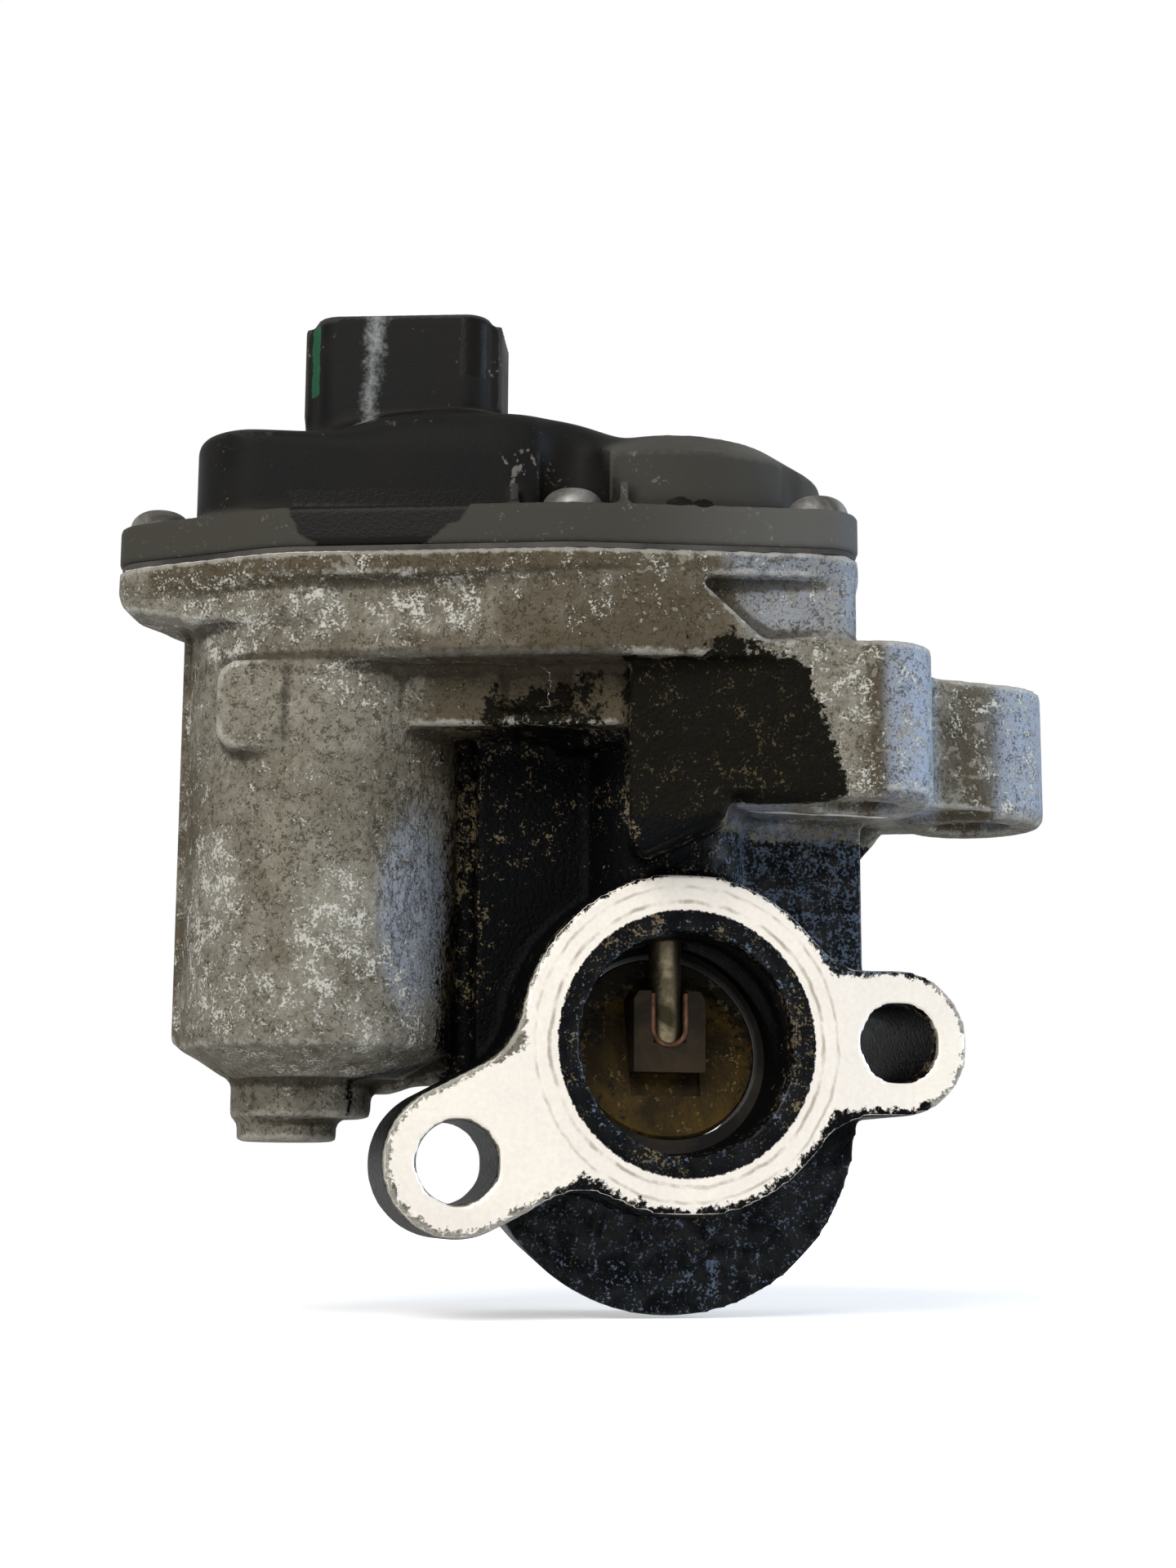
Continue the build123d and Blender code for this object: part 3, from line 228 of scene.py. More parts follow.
    def bump(self, height: Socket, depth: float, strength: float) -> Socket:
        """Normal of a bump in which a height of 1 stands for that depth in metres."""
        return self.made("ShaderNodeBump", {
            "Height": height, "Distance": depth, "Strength": strength}, "Normal")

    def seen_as_backdrop(self) -> Socket:
        """Tell apart the rays that see the white backdrop.

        Returns:
            1 for these, 0 for the light that falls on the object.
        """
        path = self.node("ShaderNodeLightPath").outputs
        mirrored = self.sums("MAXIMUM", path["Is Glossy Ray"], path["Is Transmission Ray"])
        return self.sums("MAXIMUM", path["Is Camera Ray"], mirrored)

    def _effect(self, tree: bpy.types.NodeTree, inputs: dict) -> Socket:
        """Place a shared effect and give its output."""
        return self.made("ShaderNodeGroup", {"Vector": self.coords, **inputs}, node_tree=tree)

    def mottle(self, scale: float, contrast: float) -> Socket:
        """Large soft patches."""
        return self._effect(EFFECTS.mottle, {"Scale": scale, "Contrast": contrast})

    def grain(self, scale: float, pits: float) -> Socket:
        """Height of a fine grain with pits."""
        return self._effect(EFFECTS.grain, {"Scale": scale, "Pits": pits})

    def speckle(self, fleck: float, clump: float, amount: object) -> Socket:
        """Mask of flecks that gather in clumps, both in cells to a metre."""
        return self._effect(EFFECTS.speckle, {"Fleck Scale": fleck, "Clump Scale": clump, "Amount": amount})

    def ragged(self, given: str | Socket, scale: float, reach: float, crumbs: float, soft: float) -> Socket:
        """Mask of a field with a crumbling edge.

        Args:
            given: the field, or the name of a painted one.
            scale: cells to a metre of the edge's large forms.
            reach: how far these move the edge.
            crumbs: the same for its crumbs.
            soft: half width of the edge, as a share of the field.

        Returns:
            The mask, 1 where the moved field passes one half.
        """
        value = self.painted(given) if isinstance(given, str) else given
        return self._effect(EFFECTS.ragged, {
            "Field": value, "Scale": scale, "Reach": reach, "Crumbs": crumbs, "Softness": soft})


class Effects:
    """The node groups that more than one finish uses, each built once."""

    @staticmethod
    def _group(name: str, inputs: dict[str, float], output: str) -> tuple[Shader, dict, Socket]:
        """Start a node group.

        Args:
            name: its name.
            inputs: float inputs with their defaults, after the vector.
            output: name of its float output.

        Returns:
            The shader, the group's inputs by name and its output socket.
        """
        tree = bpy.data.node_groups.new(name, "ShaderNodeTree")
        tree.interface.new_socket("Vector", in_out="INPUT", socket_type="NodeSocketVector")
        for given, value in inputs.items():
            socket = tree.interface.new_socket(given, in_out="INPUT", socket_type="NodeSocketFloat")
            socket.default_value = value
        tree.interface.new_socket(output, in_out="OUTPUT", socket_type="NodeSocketFloat")
        shader = Shader(tree)
        entry = shader.node("NodeGroupInput")
        shader._coords = entry.outputs["Vector"]
        leave = shader.node("NodeGroupOutput")
        return shader, {given: entry.outputs[given] for given in inputs}, leave.inputs[output]

    @cached_property
    def speckle(self) -> bpy.types.NodeTree:
        """Clustered fine flecks, such as white oxide on bare aluminium.

        Returns:
            The node group.
        """
        shader, given, mask = self._group(
            "speckle", {"Fleck Scale": 2400.0, "Clump Scale": 300.0, "Amount": 0.5}, "Mask")
        fleck = shader.noise(given["Fleck Scale"], 3.0, 0.65)
        clump = shader.noise(given["Clump Scale"], 5.0, 0.7, 0.5)
        both = shader.sums("MULTIPLY_ADD", clump, 1.1, fleck)
        level = shader.sums("MULTIPLY_ADD", given["Amount"], -0.55, 1.36)
        shader.plug(mask, shader.step(shader.sums("SUBTRACT", both, level), 0.0, 0.1))
        return shader.tree

    @cached_property
    def mottle(self) -> bpy.types.NodeTree:
        """Large soft patches with fine variation in them.

        Returns:
            The node group.
        """
        shader, given, value = self._group("mottle", {"Scale": 60.0, "Contrast": 1.0}, "Value")
        centred = shader.sums("SUBTRACT", shader.noise(given["Scale"], 8.0, 0.62, 0.4), 0.5)
        spread = shader.sums("MULTIPLY_ADD", centred, given["Contrast"], 0.5)
        shader.plug(value, shader.step(spread, 0.3, 0.7))
        return shader.tree

    @cached_property
    def grain(self) -> bpy.types.NodeTree:
        """Height of a fine surface grain with sparse pits.

        Returns:
            The node group.
        """
        shader, given, height = self._group("grain", {"Scale": 1200.0, "Pits": 0.3}, "Height")
        fine = shader.noise(given["Scale"], 4.0, 0.6)
        pit = shader.step(shader.cells(given["Scale"]), 0.0, 0.45)
        shader.plug(height, shader.sums("MULTIPLY", fine, shader.level(given["Pits"], 1.0, pit)))
        return shader.tree

    @cached_property
    def ragged(self) -> bpy.types.NodeTree:
        """A field with an irregular, crumbling edge: 1 where it passes one half.

        Returns:
            The node group.
        """
        shader, given, mask = self._group(
            "ragged", {"Field": 0.0, "Scale": 200.0, "Reach": 0.5, "Crumbs": 0.3, "Softness": 0.08}, "Mask")
        rough = shader.sums("SUBTRACT", shader.noise(given["Scale"], 6.0, 0.65, 0.3), 0.5)
        crumbs = shader.sums("SUBTRACT", shader.noise(2300.0, 2.0, 0.6), 0.5)
        moved = shader.sums("MULTIPLY", rough, given["Reach"])
        small = shader.sums("MULTIPLY", crumbs, given["Crumbs"])
        now = shader.sums("ADD", given["Field"], shader.sums("ADD", moved, small))
        low, high = (shader.sums(way, 0.5, given["Softness"]) for way in ("SUBTRACT", "ADD"))
        shader.plug(mask, shader.step(now, low, high))
        return shader.tree


EFFECTS = Effects()


# ------------------------------------------------------------------ finishes
@dataclass(frozen=True)
class Finish:
    """A procedural finish.

    Attributes:
        name: the material's name.
    """

    name: str

    def paint(self, shader: Shader, surface: bpy.types.Node) -> None:
        """Join the finish to the surface shader.

        Args:
            shader: the material's node tree.
            surface: its Principled BSDF.
        """
        raise NotImplementedError

    def material(self) -> bpy.types.Material:
        """Build the material, or give the one already built.

        Returns:
            The material.
        """
        found = bpy.data.materials.get(self.name)
        if found is not None and found.get("finished"):
            return found
        made = bpy.data.materials.new(self.name)
        made.use_nodes = True
        made["finished"] = True
        made.node_tree.nodes.clear()
        shader = Shader(made.node_tree)
        surface = shader.node("ShaderNodeBsdfPrincipled")
        output = shader.node("ShaderNodeOutputMaterial")
        shader.plug(output.inputs["Surface"], surface.outputs["BSDF"])
        self.paint(shader, surface)
        return made

    def dress(self, piece: bpy.types.Object) -> None:
        """Give the whole piece, a CAD node or a modelled one, this finish."""
        piece.data.materials.clear()
        piece.data.materials.append(self.material())


@dataclass(frozen=True)
class Metal(Finish):
    """A machined or drawn metal with fine grain and stains.

    Attributes:
        colour: main colour.
        stain: colour of the stains.
        stained: 0 to 1, how much is stained.
        roughness: of the clean metal.
        metallic: share of metal.
        stain_roughness: of the stains.
        scale: grain cells to a metre.
    """

    colour: Colour = (0.5, 0.5, 0.5)
    stain: Colour = (0.2, 0.17, 0.13)
    stained: float = 0.2
    roughness: float = 0.35
    metallic: float = 1.0
    stain_roughness: float = 0.75
    scale: float = 900.0

    def paint(self, shader: Shader, surface: bpy.types.Node) -> None:
        """Join the metal's colour, stains and grain."""
        share = shader.sums("MULTIPLY", shader.mottle(self.scale / 6, contrast=1.3), self.stained)
        shader.feed(surface, {
            "Base Color": shader.blend(share, self.colour, self.stain),
            "Roughness": shader.level(share, self.roughness, self.stain_roughness),
            "Metallic": self.metallic,
            "Specular IOR Level": 0.15,
            "Normal": shader.bump(shader.grain(self.scale, pits=0.4), depth=0.06 * MM, strength=0.6)})


@dataclass(frozen=True)
class Plastic(Finish):
    """A moulded plastic or rubber with spark-eroded grain and dust.

    Attributes:
        colour: main colour.
        dust: colour of the dust.
        dusty: 0 to 1, how much dust.
        roughness: of the clean plastic.
        dust_roughness: of the dust.
    """

    colour: Colour = (0.02, 0.02, 0.022)
    dust: Colour = (0.12, 0.11, 0.1)
    dusty: float = 0.1
    roughness: float = 0.5
    dust_roughness: float = 0.85

    def paint(self, shader: Shader, surface: bpy.types.Node) -> None:
        """Join the plastic's colour, dust and grain."""
        share = shader.sums("MULTIPLY", shader.mottle(70.0, contrast=1.2), self.dusty)
        shader.feed(surface, {
            "Base Color": shader.blend(share, self.colour, self.dust),
            "Roughness": shader.level(share, self.roughness, self.dust_roughness),
            "Specular IOR Level": 0.2,
            "Normal": shader.bump(shader.grain(2200.0, pits=0.5), depth=0.05 * MM, strength=0.5)})


@dataclass(frozen=True)
class CorrodedCasting(Finish):
    """Weathered cast aluminium with oxide flecks, oil, soot and machined faces, and with painted bluish highlights,
    painted glints and painted shade.

    The painted fields lie on the mesh: soot, oil, salt, brown, cracks, grit, crease, ridge, machined and
    rim, with the field of the painted bluish highlights and that of the wet soot which also places the painted
    glints.

    Attributes:
        bare: colour of the grey metal.
        aged: colour of the brown-grey weathered skin.
        tinge: colour of the fine stains in it.
        pore: colour of its pores.
        highlight_blue: colour of the painted bluish highlight on faces that turn to the right or are rounded, where
            the metal is also smoother.
        oxide: colour of the white flecks and worn ridges.
        powder: colour of the thin oxide film round the flecks.
        crease_dirt_and_shade: colour of the dirt and painted shade in creases, and of the painted shadow lines
            along edges and steps.
        crack: colour of the hairline cracks.
        oil: colour of the baked oil.
        soot: colour of the soot.
        gold: colour of the grit on oil and soot.
        painted_glint: colour of the grains that shine on wet soot.
        cut: colour of a machined face.
        swirl: colour of the large clouds on it.
        tan: colour of its fine stains.
        traces: radius and half width in millimetres, and share, of each ring that the gasket left.
        trace: colour of these rings.
        scored: colour of its scored marks.
        sway: how far in millimetres the rings and the soot's edge wander.
        soot_r: radii in millimetres where the port's soot ring thins out and where it ends.
    """

    bare: Colour = (0.222, 0.207, 0.168)
    aged: Colour = (0.075, 0.061, 0.040)
    tinge: Colour = (0.065, 0.054, 0.038)
    pore: Colour = (0.03, 0.024, 0.015)
    highlight_blue: Colour = (0.22, 0.25, 0.30)
    oxide: Colour = (0.50, 0.49, 0.44)
    powder: Colour = (0.27, 0.256, 0.21)
    crease_dirt_and_shade: Colour = (0.03, 0.024, 0.016)
    crack: Colour = (0.02, 0.018, 0.015)
    oil: Colour = (0.0034, 0.0028, 0.0014)
    soot: Colour = (0.0017, 0.0019, 0.0023)
    gold: Colour = (0.15, 0.118, 0.066)
    # glint: colour of the painted glints, specks of bluish highlight on the wet soot.
    painted_glint: Colour = (0.10, 0.13, 0.175)
    cut: Colour = (0.80, 0.745, 0.66)
    swirl: Colour = (0.56, 0.53, 0.52)
    tan: Colour = (0.42, 0.34, 0.25)
    traces: tuple[tuple[float, float, float], ...] = ((15.7, 0.35, 0.75), (17.4, 0.28, 0.55))
    trace: Colour = (0.27, 0.22, 0.16)
    scored: Colour = (0.36, 0.33, 0.32)
    sway: float = 0.9
    soot_r: Span = (15.15, 15.3)

    def _skin(self, shader: Shader) -> tuple[Socket, Socket]:
        """The weathered metal with its oxide, painted bluish highlights, and dirt and painted shade in creases.

        Args:
            shader: the material's node tree.

        Returns:
            Its colour and the mask of the oxide flecks.
        """
        salt = shader.painted("salt")
        browned = shader.sums("MULTIPLY_ADD", shader.mottle(110.0, contrast=1.1), 0.6, shader.painted("brown"))
        skin = shader.blend(shader.step(browned, 0.0, 1.15), self.bare, self.aged)
        skin = shader.laid(skin, shader.mottle(900.0, contrast=1.3), 0.42, self.tinge)
        # Painted bluish highlight on the faces lit from the right
        skin = shader.blend(shader.painted("blue_highlight"), skin, self.highlight_blue)
        skin = shader.laid(skin, shader.speckle(4000.0, 1000.0, 0.52), 0.72, self.pore)
        worn = shader.ragged("ridge", 600.0, reach=0.9, crumbs=0.6, soft=0.2)
        skin = shader.laid(skin, worn, 0.4, self.oxide)
        skin = shader.laid(skin, shader.speckle(1000.0, 170.0, salt), 0.5, self.powder)
        flecks = shader.speckle(3300.0, 420.0, salt)
        skin = shader.laid(skin, flecks, 0.85, self.oxide)
        # Dirt and painted shade in creases, and painted shadow lines along edges and steps
        creased = shader.ragged("crease", 500.0, reach=0.8, crumbs=0.5, soft=0.25)
        skin = shader.laid(skin, creased, 0.72, self.crease_dirt_and_shade)
        winding = shader.noise(260.0, 6.0, 0.75, where=shader.mapped((1.0, 1.0, 0.35)))
        line = shader.sums("ABSOLUTE", shader.sums("SUBTRACT", winding, 0.5))
        hair = shader.sums("MULTIPLY", shader.step(line, 0.026, 0.009), shader.painted("cracks"))
        return shader.blend(hair, skin, self.crack), flecks

    def _dirt(self, shader: Shader, skin: Socket) -> tuple[Socket, Socket, Socket]:
        """Oil and soot over the skin, with painted glints on the wet soot.

        Args:
            shader: the material's node tree.
            skin: colour below.

        Returns:
            The colour, and the masks of the oil and the soot.
        """
        oil = shader.ragged("oil", 330.0, reach=1.0, crumbs=0.45, soft=0.05)
        colour = shader.laid(skin, oil, 0.99, self.oil)
        soot = shader.ragged("soot", 420.0, reach=0.7, crumbs=0.75, soft=0.1)
        colour = shader.blend(soot, colour, self.soot)
        amount = shader.sums("MULTIPLY_ADD", shader.mottle(120.0, contrast=1.3), 0.3, shader.painted("grit"))
        held = shader.sums("MAXIMUM", shader.sums("MULTIPLY", soot, 0.8), shader.sums("MULTIPLY", oil, 0.35))
        grit = shader.sums("MULTIPLY", shader.speckle(2900.0, 700.0, amount), held)
        colour = shader.blend(grit, colour, self.gold)
        # Painted glints: bluish specks of highlight laid on the wet soot
        wet = shader.painted("wet")
        painted_glints = shader.sums("MULTIPLY", shader.speckle(2700.0, 800.0, wet), shader.step(wet, 0.05, 0.3))
        return shader.laid(colour, painted_glints, 0.85, self.painted_glint), oil, soot

    def _face(self, shader: Shader) -> tuple[Socket, Socket]:
        """The machined faces with their chipped edges and the soot ring of the port.

        Args:
            shader: the material's node tree.

        Returns:
            Their colour and the mask of where they are clean.
        """
        face = shader.laid(self.cut, shader.mottle(75.0, contrast=1.0), 0.3, self.swirl)
        face = shader.laid(face, shader.mottle(1500.0, contrast=0.8), 0.18, self.tan)
        away = shader.radius((0.0, 0.0, 0.0), (1.0, 0.0, 1.0))
        broken = shader.mottle(240.0, contrast=1.6)
        for line, width, share in self.traces:
            drift = shader.noise(300.0, 4.0, 0.6)
            wander = shader.sums("MULTIPLY_ADD", drift, self.sway * MM, (line - self.sway / 2) * MM)
            near = shader.sums("ABSOLUTE", shader.sums("SUBTRACT", away, wander))
            ring = shader.sums("MULTIPLY", shader.step(near, width * MM, 0.06 * MM), broken)
            face = shader.laid(face, ring, share, self.trace)
        scratches = shader.noise(60.0, 6.0, 0.8, where=shader.mapped((18.0, 1.0, 2.2)))
        face = shader.laid(face, shader.step(scratches, 0.62, 0.72), 0.22, self.scored)
        rough = shader.sums("MULTIPLY", shader.noise(1500.0, 4.0, 0.7), self.sway * MM)
        thin, end = self.soot_r
        outside = shader.step(shader.sums("ADD", away, rough), thin * MM, end * MM)
        chipped = shader.ragged("rim", 700.0, reach=0.62, crumbs=0.35, soft=0.05)
        clean = shader.sums("MULTIPLY", shader.step(shader.painted("machined"), 0.4, 0.6), chipped)
        return face, shader.sums("MULTIPLY", clean, outside)

    def paint(self, shader: Shader, surface: bpy.types.Node) -> None:
        """Join the casting's layers, from the bare metal up to the machined faces."""
        skin, flecks = self._skin(shader)
        colour, oil, soot = self._dirt(shader, skin)
        face, clean = self._face(shader)
        smooth = shader.level(shader.painted("blue_highlight"), 0.66, 0.5)
        dull = shader.level(soot, shader.level(oil, smooth, 0.5), 0.45)
        dirt = shader.sums("MAXIMUM", shader.sums("MAXIMUM", oil, soot), flecks)
        metal = shader.sums("MULTIPLY", shader.sums("SUBTRACT", 1.0, dirt), 0.2)
        film = shader.sums("MULTIPLY", shader.mottle(300.0, contrast=1.3), shader.painted("wet"))
        grain = shader.grain(1500.0, pits=0.6)
        raised = shader.sums("MULTIPLY_ADD", flecks, 0.5, grain)
        rough = shader.level(clean, raised, shader.sums("MULTIPLY", grain, 0.08))
        shader.feed(surface, {
            "Base Color": shader.blend(clean, colour, face),
            "Roughness": shader.level(clean, dull, 0.42),
            "Metallic": shader.level(clean, metal, 0.4),
            "Specular IOR Level": 0.03,
            "Coat Weight": shader.sums("MULTIPLY", film, 0.5),
            "Coat Roughness": 0.25,
            "Normal": shader.bump(rough, depth=0.28 * MM, strength=0.75)})


@dataclass(frozen=True)
class OiledCover(Finish):
    """Black moulded cover: near-black dome and connector, dusty grey-brown band, oil and scuffs.

    The painted fields scuff, scratch, paint_mark, wet, dusty, crease and ridge lie on the mesh.

    Attributes:
        dome: colour of the dome and connector.
        haze: colour of the fine dust on them.
        film: colour of the dusty parts of the dome.
        edge: colour of the worn edges.
        band: colour of the dusty band on the left.
        band_right: colour of the band on the right.
        band_z: height in millimetres where the band starts and where it is full.
        band_turn: millimetres left and right of the shaft over which its colour changes.
        wear: colour of the band's flecks and the fine scratches.
        crease_dirt_and_shade: colour of the dirt and painted shade in creases.
        grit: colour of the light grit.
        oil: colour of the oil patches.
        scuff: colour of the silvery scuff.
        mark: colour of the green paint mark.
    """

    dome: Colour = (0.0045, 0.0046, 0.0047)
    haze: Colour = (0.02, 0.0185, 0.0155)
    film: Colour = (0.046, 0.043, 0.036)
    edge: Colour = (0.085, 0.082, 0.074)
    band: Colour = (0.042, 0.040, 0.033)
    band_right: Colour = (0.078, 0.077, 0.072)
    band_z: Span = (59.6, 58.2)
    band_turn: float = 12.0
    wear: Colour = (0.16, 0.155, 0.14)
    crease_dirt_and_shade: Colour = (0.016, 0.013, 0.009)
    grit: Colour = (0.2, 0.18, 0.15)
    oil: Colour = (0.0065, 0.006, 0.005)
    scuff: Colour = (0.36, 0.38, 0.38)
    mark: Colour = (0.015, 0.07, 0.035)

    def paint(self, shader: Shader, surface: bpy.types.Node) -> None:
        """Join the plastic, its dust, oil and marks."""
        patch = shader.mottle(85.0, contrast=1.2)
        colour = shader.laid(self.dome, patch, 0.3, self.haze)
        dusty = shader.ragged("dusty", 180.0, reach=0.5, crumbs=0.2, soft=0.2)
        colour = shader.laid(colour, dusty, 0.75, self.film)
        worn = shader.ragged("ridge", 500.0, reach=0.6, crumbs=0.3, soft=0.15)
        colour = shader.laid(colour, worn, 0.3, self.edge)
        start, full = self.band_z
        low = shader.step(shader.part(2), start * MM, full * MM)
        across = shader.step(shader.part(0), -self.band_turn * MM, self.band_turn * MM)
        pale = shader.blend(across, self.band, self.band_right)
        pale = shader.laid(pale, shader.speckle(1800.0, 260.0, 0.22), 0.5, self.wear)
        colour = shader.blend(low, colour, pale)
        # Dirt and painted shade in creases
        colour = shader.laid(colour, shader.painted("crease"), 0.6, self.crease_dirt_and_shade)
        colour = shader.laid(colour, shader.speckle(1500.0, 150.0, 0.16), 0.4, self.grit)
        spots = shader.ragged("wet", 260.0, reach=0.7, crumbs=0.05, soft=0.05)
        colour = shader.blend(spots, colour, self.oil)
        streak = shader.ragged("scuff", 420.0, reach=0.8, crumbs=0.5, soft=0.3)
        colour = shader.laid(colour, streak, 0.6, self.scuff)
        nick = shader.ragged("scratch", 1500.0, reach=0.9, crumbs=0.5, soft=0.1)
        colour = shader.laid(colour, nick, 0.7, self.wear)
        mark = shader.ragged("paint_mark", 500.0, reach=0.6, crumbs=0.2, soft=0.08)
        rough = shader.level(low, shader.level(patch, 0.45, 0.6), 0.62)
        shader.feed(surface, {
            "Base Color": shader.blend(mark, colour, self.mark),
            "Roughness": shader.level(spots, rough, 0.3),
            "Specular IOR Level": 0.05,
            "Normal": shader.bump(shader.grain(2600.0, pits=0.5), depth=0.06 * MM, strength=0.6)})


@dataclass(frozen=True)
class VarnishedDisc(Finish):
    """Steel flap with golden-brown gas varnish, flaked off round its rim.

    Attributes:
        varnish: colour of the thick varnish.
        thin: colour of the thin varnish.
        metal: colour of the flaked metal.
        crumb: colour of the golden crumbs.
        burnt: colour of the black flakes.
        middle: the point in millimetres round which the varnish is whole.
        flaking: distances from there where it starts to flake and where it is gone.
    """

    varnish: Colour = (0.014, 0.0095, 0.004)
    thin: Colour = (0.062, 0.038, 0.008)
    metal: Colour = (0.14, 0.12, 0.085)
    crumb: Colour = (0.19, 0.14, 0.06)
    burnt: Colour = (0.006, 0.005, 0.004)
    middle: Point = (1.0, 11.8, -3.0)
    flaking: Span = (5.95, 12.45)

    def paint(self, shader: Shader, surface: bpy.types.Node) -> None:
        """Join the varnish, its flakes and a gritty skin."""
        colour = shader.blend(shader.mottle(150.0, contrast=1.2), self.varnish, self.thin)
        away = shader.radius(self.middle, (1.0, 0.0, 1.0))
        start, gone = self.flaking
        edge = shader.step(away, start * MM, gone * MM, smooth=False)
        flake = shader.ragged(shader.sums("MULTIPLY", edge, 0.62), 450.0, reach=1.0, crumbs=0.35, soft=0.05)
        colour = shader.laid(colour, flake, 0.8, self.metal)
        colour = shader.laid(colour, shader.speckle(2000.0, 400.0, 0.3), 0.6, self.crumb)
        colour = shader.laid(colour, shader.speckle(1100.0, 380.0, edge), 0.85, self.burnt)
        raised = shader.sums("MULTIPLY_ADD", flake, -0.5, shader.grain(1600.0, pits=0.5))
        shader.feed(surface, {
            "Base Color": colour,
            "Roughness": shader.level(flake, 0.42, 0.6),
            "Metallic": 0.25,
            "Specular IOR Level": 0.1,
            "Normal": shader.bump(raised, depth=0.1 * MM, strength=0.7)})


POLISHED: Colour = (0.6, 0.6, 0.6)
BRASS: Colour = (0.72, 0.52, 0.2)
BRONZE: Colour = (0.5, 0.32, 0.13)

PLAIN_FINISHES: dict[str, Finish] = {
    "cover_gasket": Plastic("gasket_rubber", colour=(0.012, 0.012, 0.012), dusty=0.5, roughness=0.7),
    "cover_screws": Metal("screw_zinc", colour=(0.21, 0.21, 0.20), stain=(0.035, 0.03, 0.022), stained=0.9,
                          roughness=0.5, metallic=0.7),
    "connector_terminals": Metal("terminal_tin", colour=(0.72, 0.69, 0.6)),
    "power_strips": Metal("strip_brass", colour=BRASS),
    "signal_strips": Metal("strip_brass", colour=BRASS),
    "motor_tabs": Metal("tab_brass", colour=BRASS),
    "sensor_board": Plastic("board_green", colour=(0.02, 0.12, 0.05), roughness=0.35),
    "hall_sensor": Plastic("chip_epoxy", colour=(0.015, 0.015, 0.015)),
    "motor_can": Metal("can_steel"),
    "wave_washer": Metal("spring_steel", colour=(0.32, 0.3, 0.28)),
    "motor_magnets": Metal("magnet_ferrite", colour=(0.05, 0.05, 0.055), stained=0.35, metallic=0.3, roughness=0.7),
    "armature_core": Metal("core_steel", colour=(0.24, 0.24, 0.25), stained=0.3, roughness=0.5),
    "armature_windings": Metal("winding_copper", colour=(0.62, 0.22, 0.08)),
    "commutator": Metal("commutator_copper", colour=(0.75, 0.36, 0.2), stained=0.4),
    "motor_shaft": Metal("motor_shaft_steel", colour=(0.62, 0.62, 0.62), stained=0.1, roughness=0.2),
    "motor_bushes": Metal("bush_bronze", colour=BRONZE, stained=0.3),
    "brush_holder": Plastic("holder_plastic", colour=(0.06, 0.06, 0.055)),
    "motor_brushes": Plastic("brush_carbon", colour=(0.02, 0.02, 0.02), dusty=0.2, roughness=0.6),
    "motor_plate": Metal("plate_steel"),
    "motor_screws": Metal("motor_screw_zinc", colour=(0.5, 0.5, 0.48)),
    "motor_pinion": Metal("pinion_steel", colour=(0.45, 0.45, 0.46), stained=0.3),
    "idler_pin": Metal("pin_steel", colour=POLISHED, stained=0.1, roughness=0.2),
    "thrust_washer": Metal("washer_steel"),
    "idler_gear": Plastic("gear_natural", colour=(0.55, 0.5, 0.38), roughness=0.35),
    "sector_gear": Plastic("gear_dark", colour=(0.07, 0.06, 0.05), roughness=0.4),
    "sensor_magnet": Metal("sensor_magnet_ferrite", colour=(0.06, 0.06, 0.065), stained=0.35, metallic=0.3),
    "valve_shaft": Metal("shaft_stained_steel", colour=(0.24, 0.205, 0.13), stain=(0.02, 0.016, 0.009),
                         stained=0.9, scale=1300.0),
    "shaft_spacer": Metal("spacer_steel"),
    "lower_bush": Metal("lower_bush_bronze", colour=BRONZE, stained=0.4),
    "shaft_seal": Plastic("seal_ptfe", colour=(0.05, 0.04, 0.035)),
    "bearing_outer_ring": Metal("bearing_steel", colour=POLISHED, stained=0.1, roughness=0.2),
    "bearing_inner_ring": Metal("bearing_steel", colour=POLISHED, stained=0.1, roughness=0.2),
    "bearing_rollers": Metal("roller_steel", colour=(0.65, 0.65, 0.65), stained=0.05, roughness=0.15),
    "return_spring": Metal("spring_wire", colour=(0.3, 0.28, 0.26)),
    "valve_disc": VarnishedDisc("disc_varnished"),
    "seat_ring": Metal("seat_sooted", colour=(0.02, 0.016, 0.012), stain=(0.006, 0.006, 0.006), stained=0.9,
                       metallic=0.3, roughness=0.6),
    "disc_saddle": Metal("saddle_steel", colour=(0.028, 0.019, 0.010), stain=(0.008, 0.006, 0.0035),
                         stained=0.85, metallic=0.2, roughness=0.55),
}


# ------------------------------------------------------------------ painted fields
@dataclass(frozen=True)
class Patch:
    """A soft ellipsoid of a painted field.

    Attributes:
        centre: its centre in millimetres.
        reach: its half sizes in millimetres.
        strength: the field's value at its middle.
        space: the coordinates that it is given in.
    """

    centre: Point
    reach: Point
    strength: float = 1.0
    space: Space = Space.GEARBOX

    def values(self, points: dict[Space, np.ndarray]) -> np.ndarray:
        """Field at each point.

        Args:
            points: positions in millimetres in both spaces, one row each.

        Returns:
            The values, falling smoothly to 0 at the reach.
        """
        away = np.linalg.norm((points[self.space] - np.array(self.centre)) / np.array(self.reach), axis=1)
        inside = np.clip(1.25 - away, 0.0, 0.5) * 2.0
        return self.strength * inside * inside * (3.0 - 2.0 * inside)


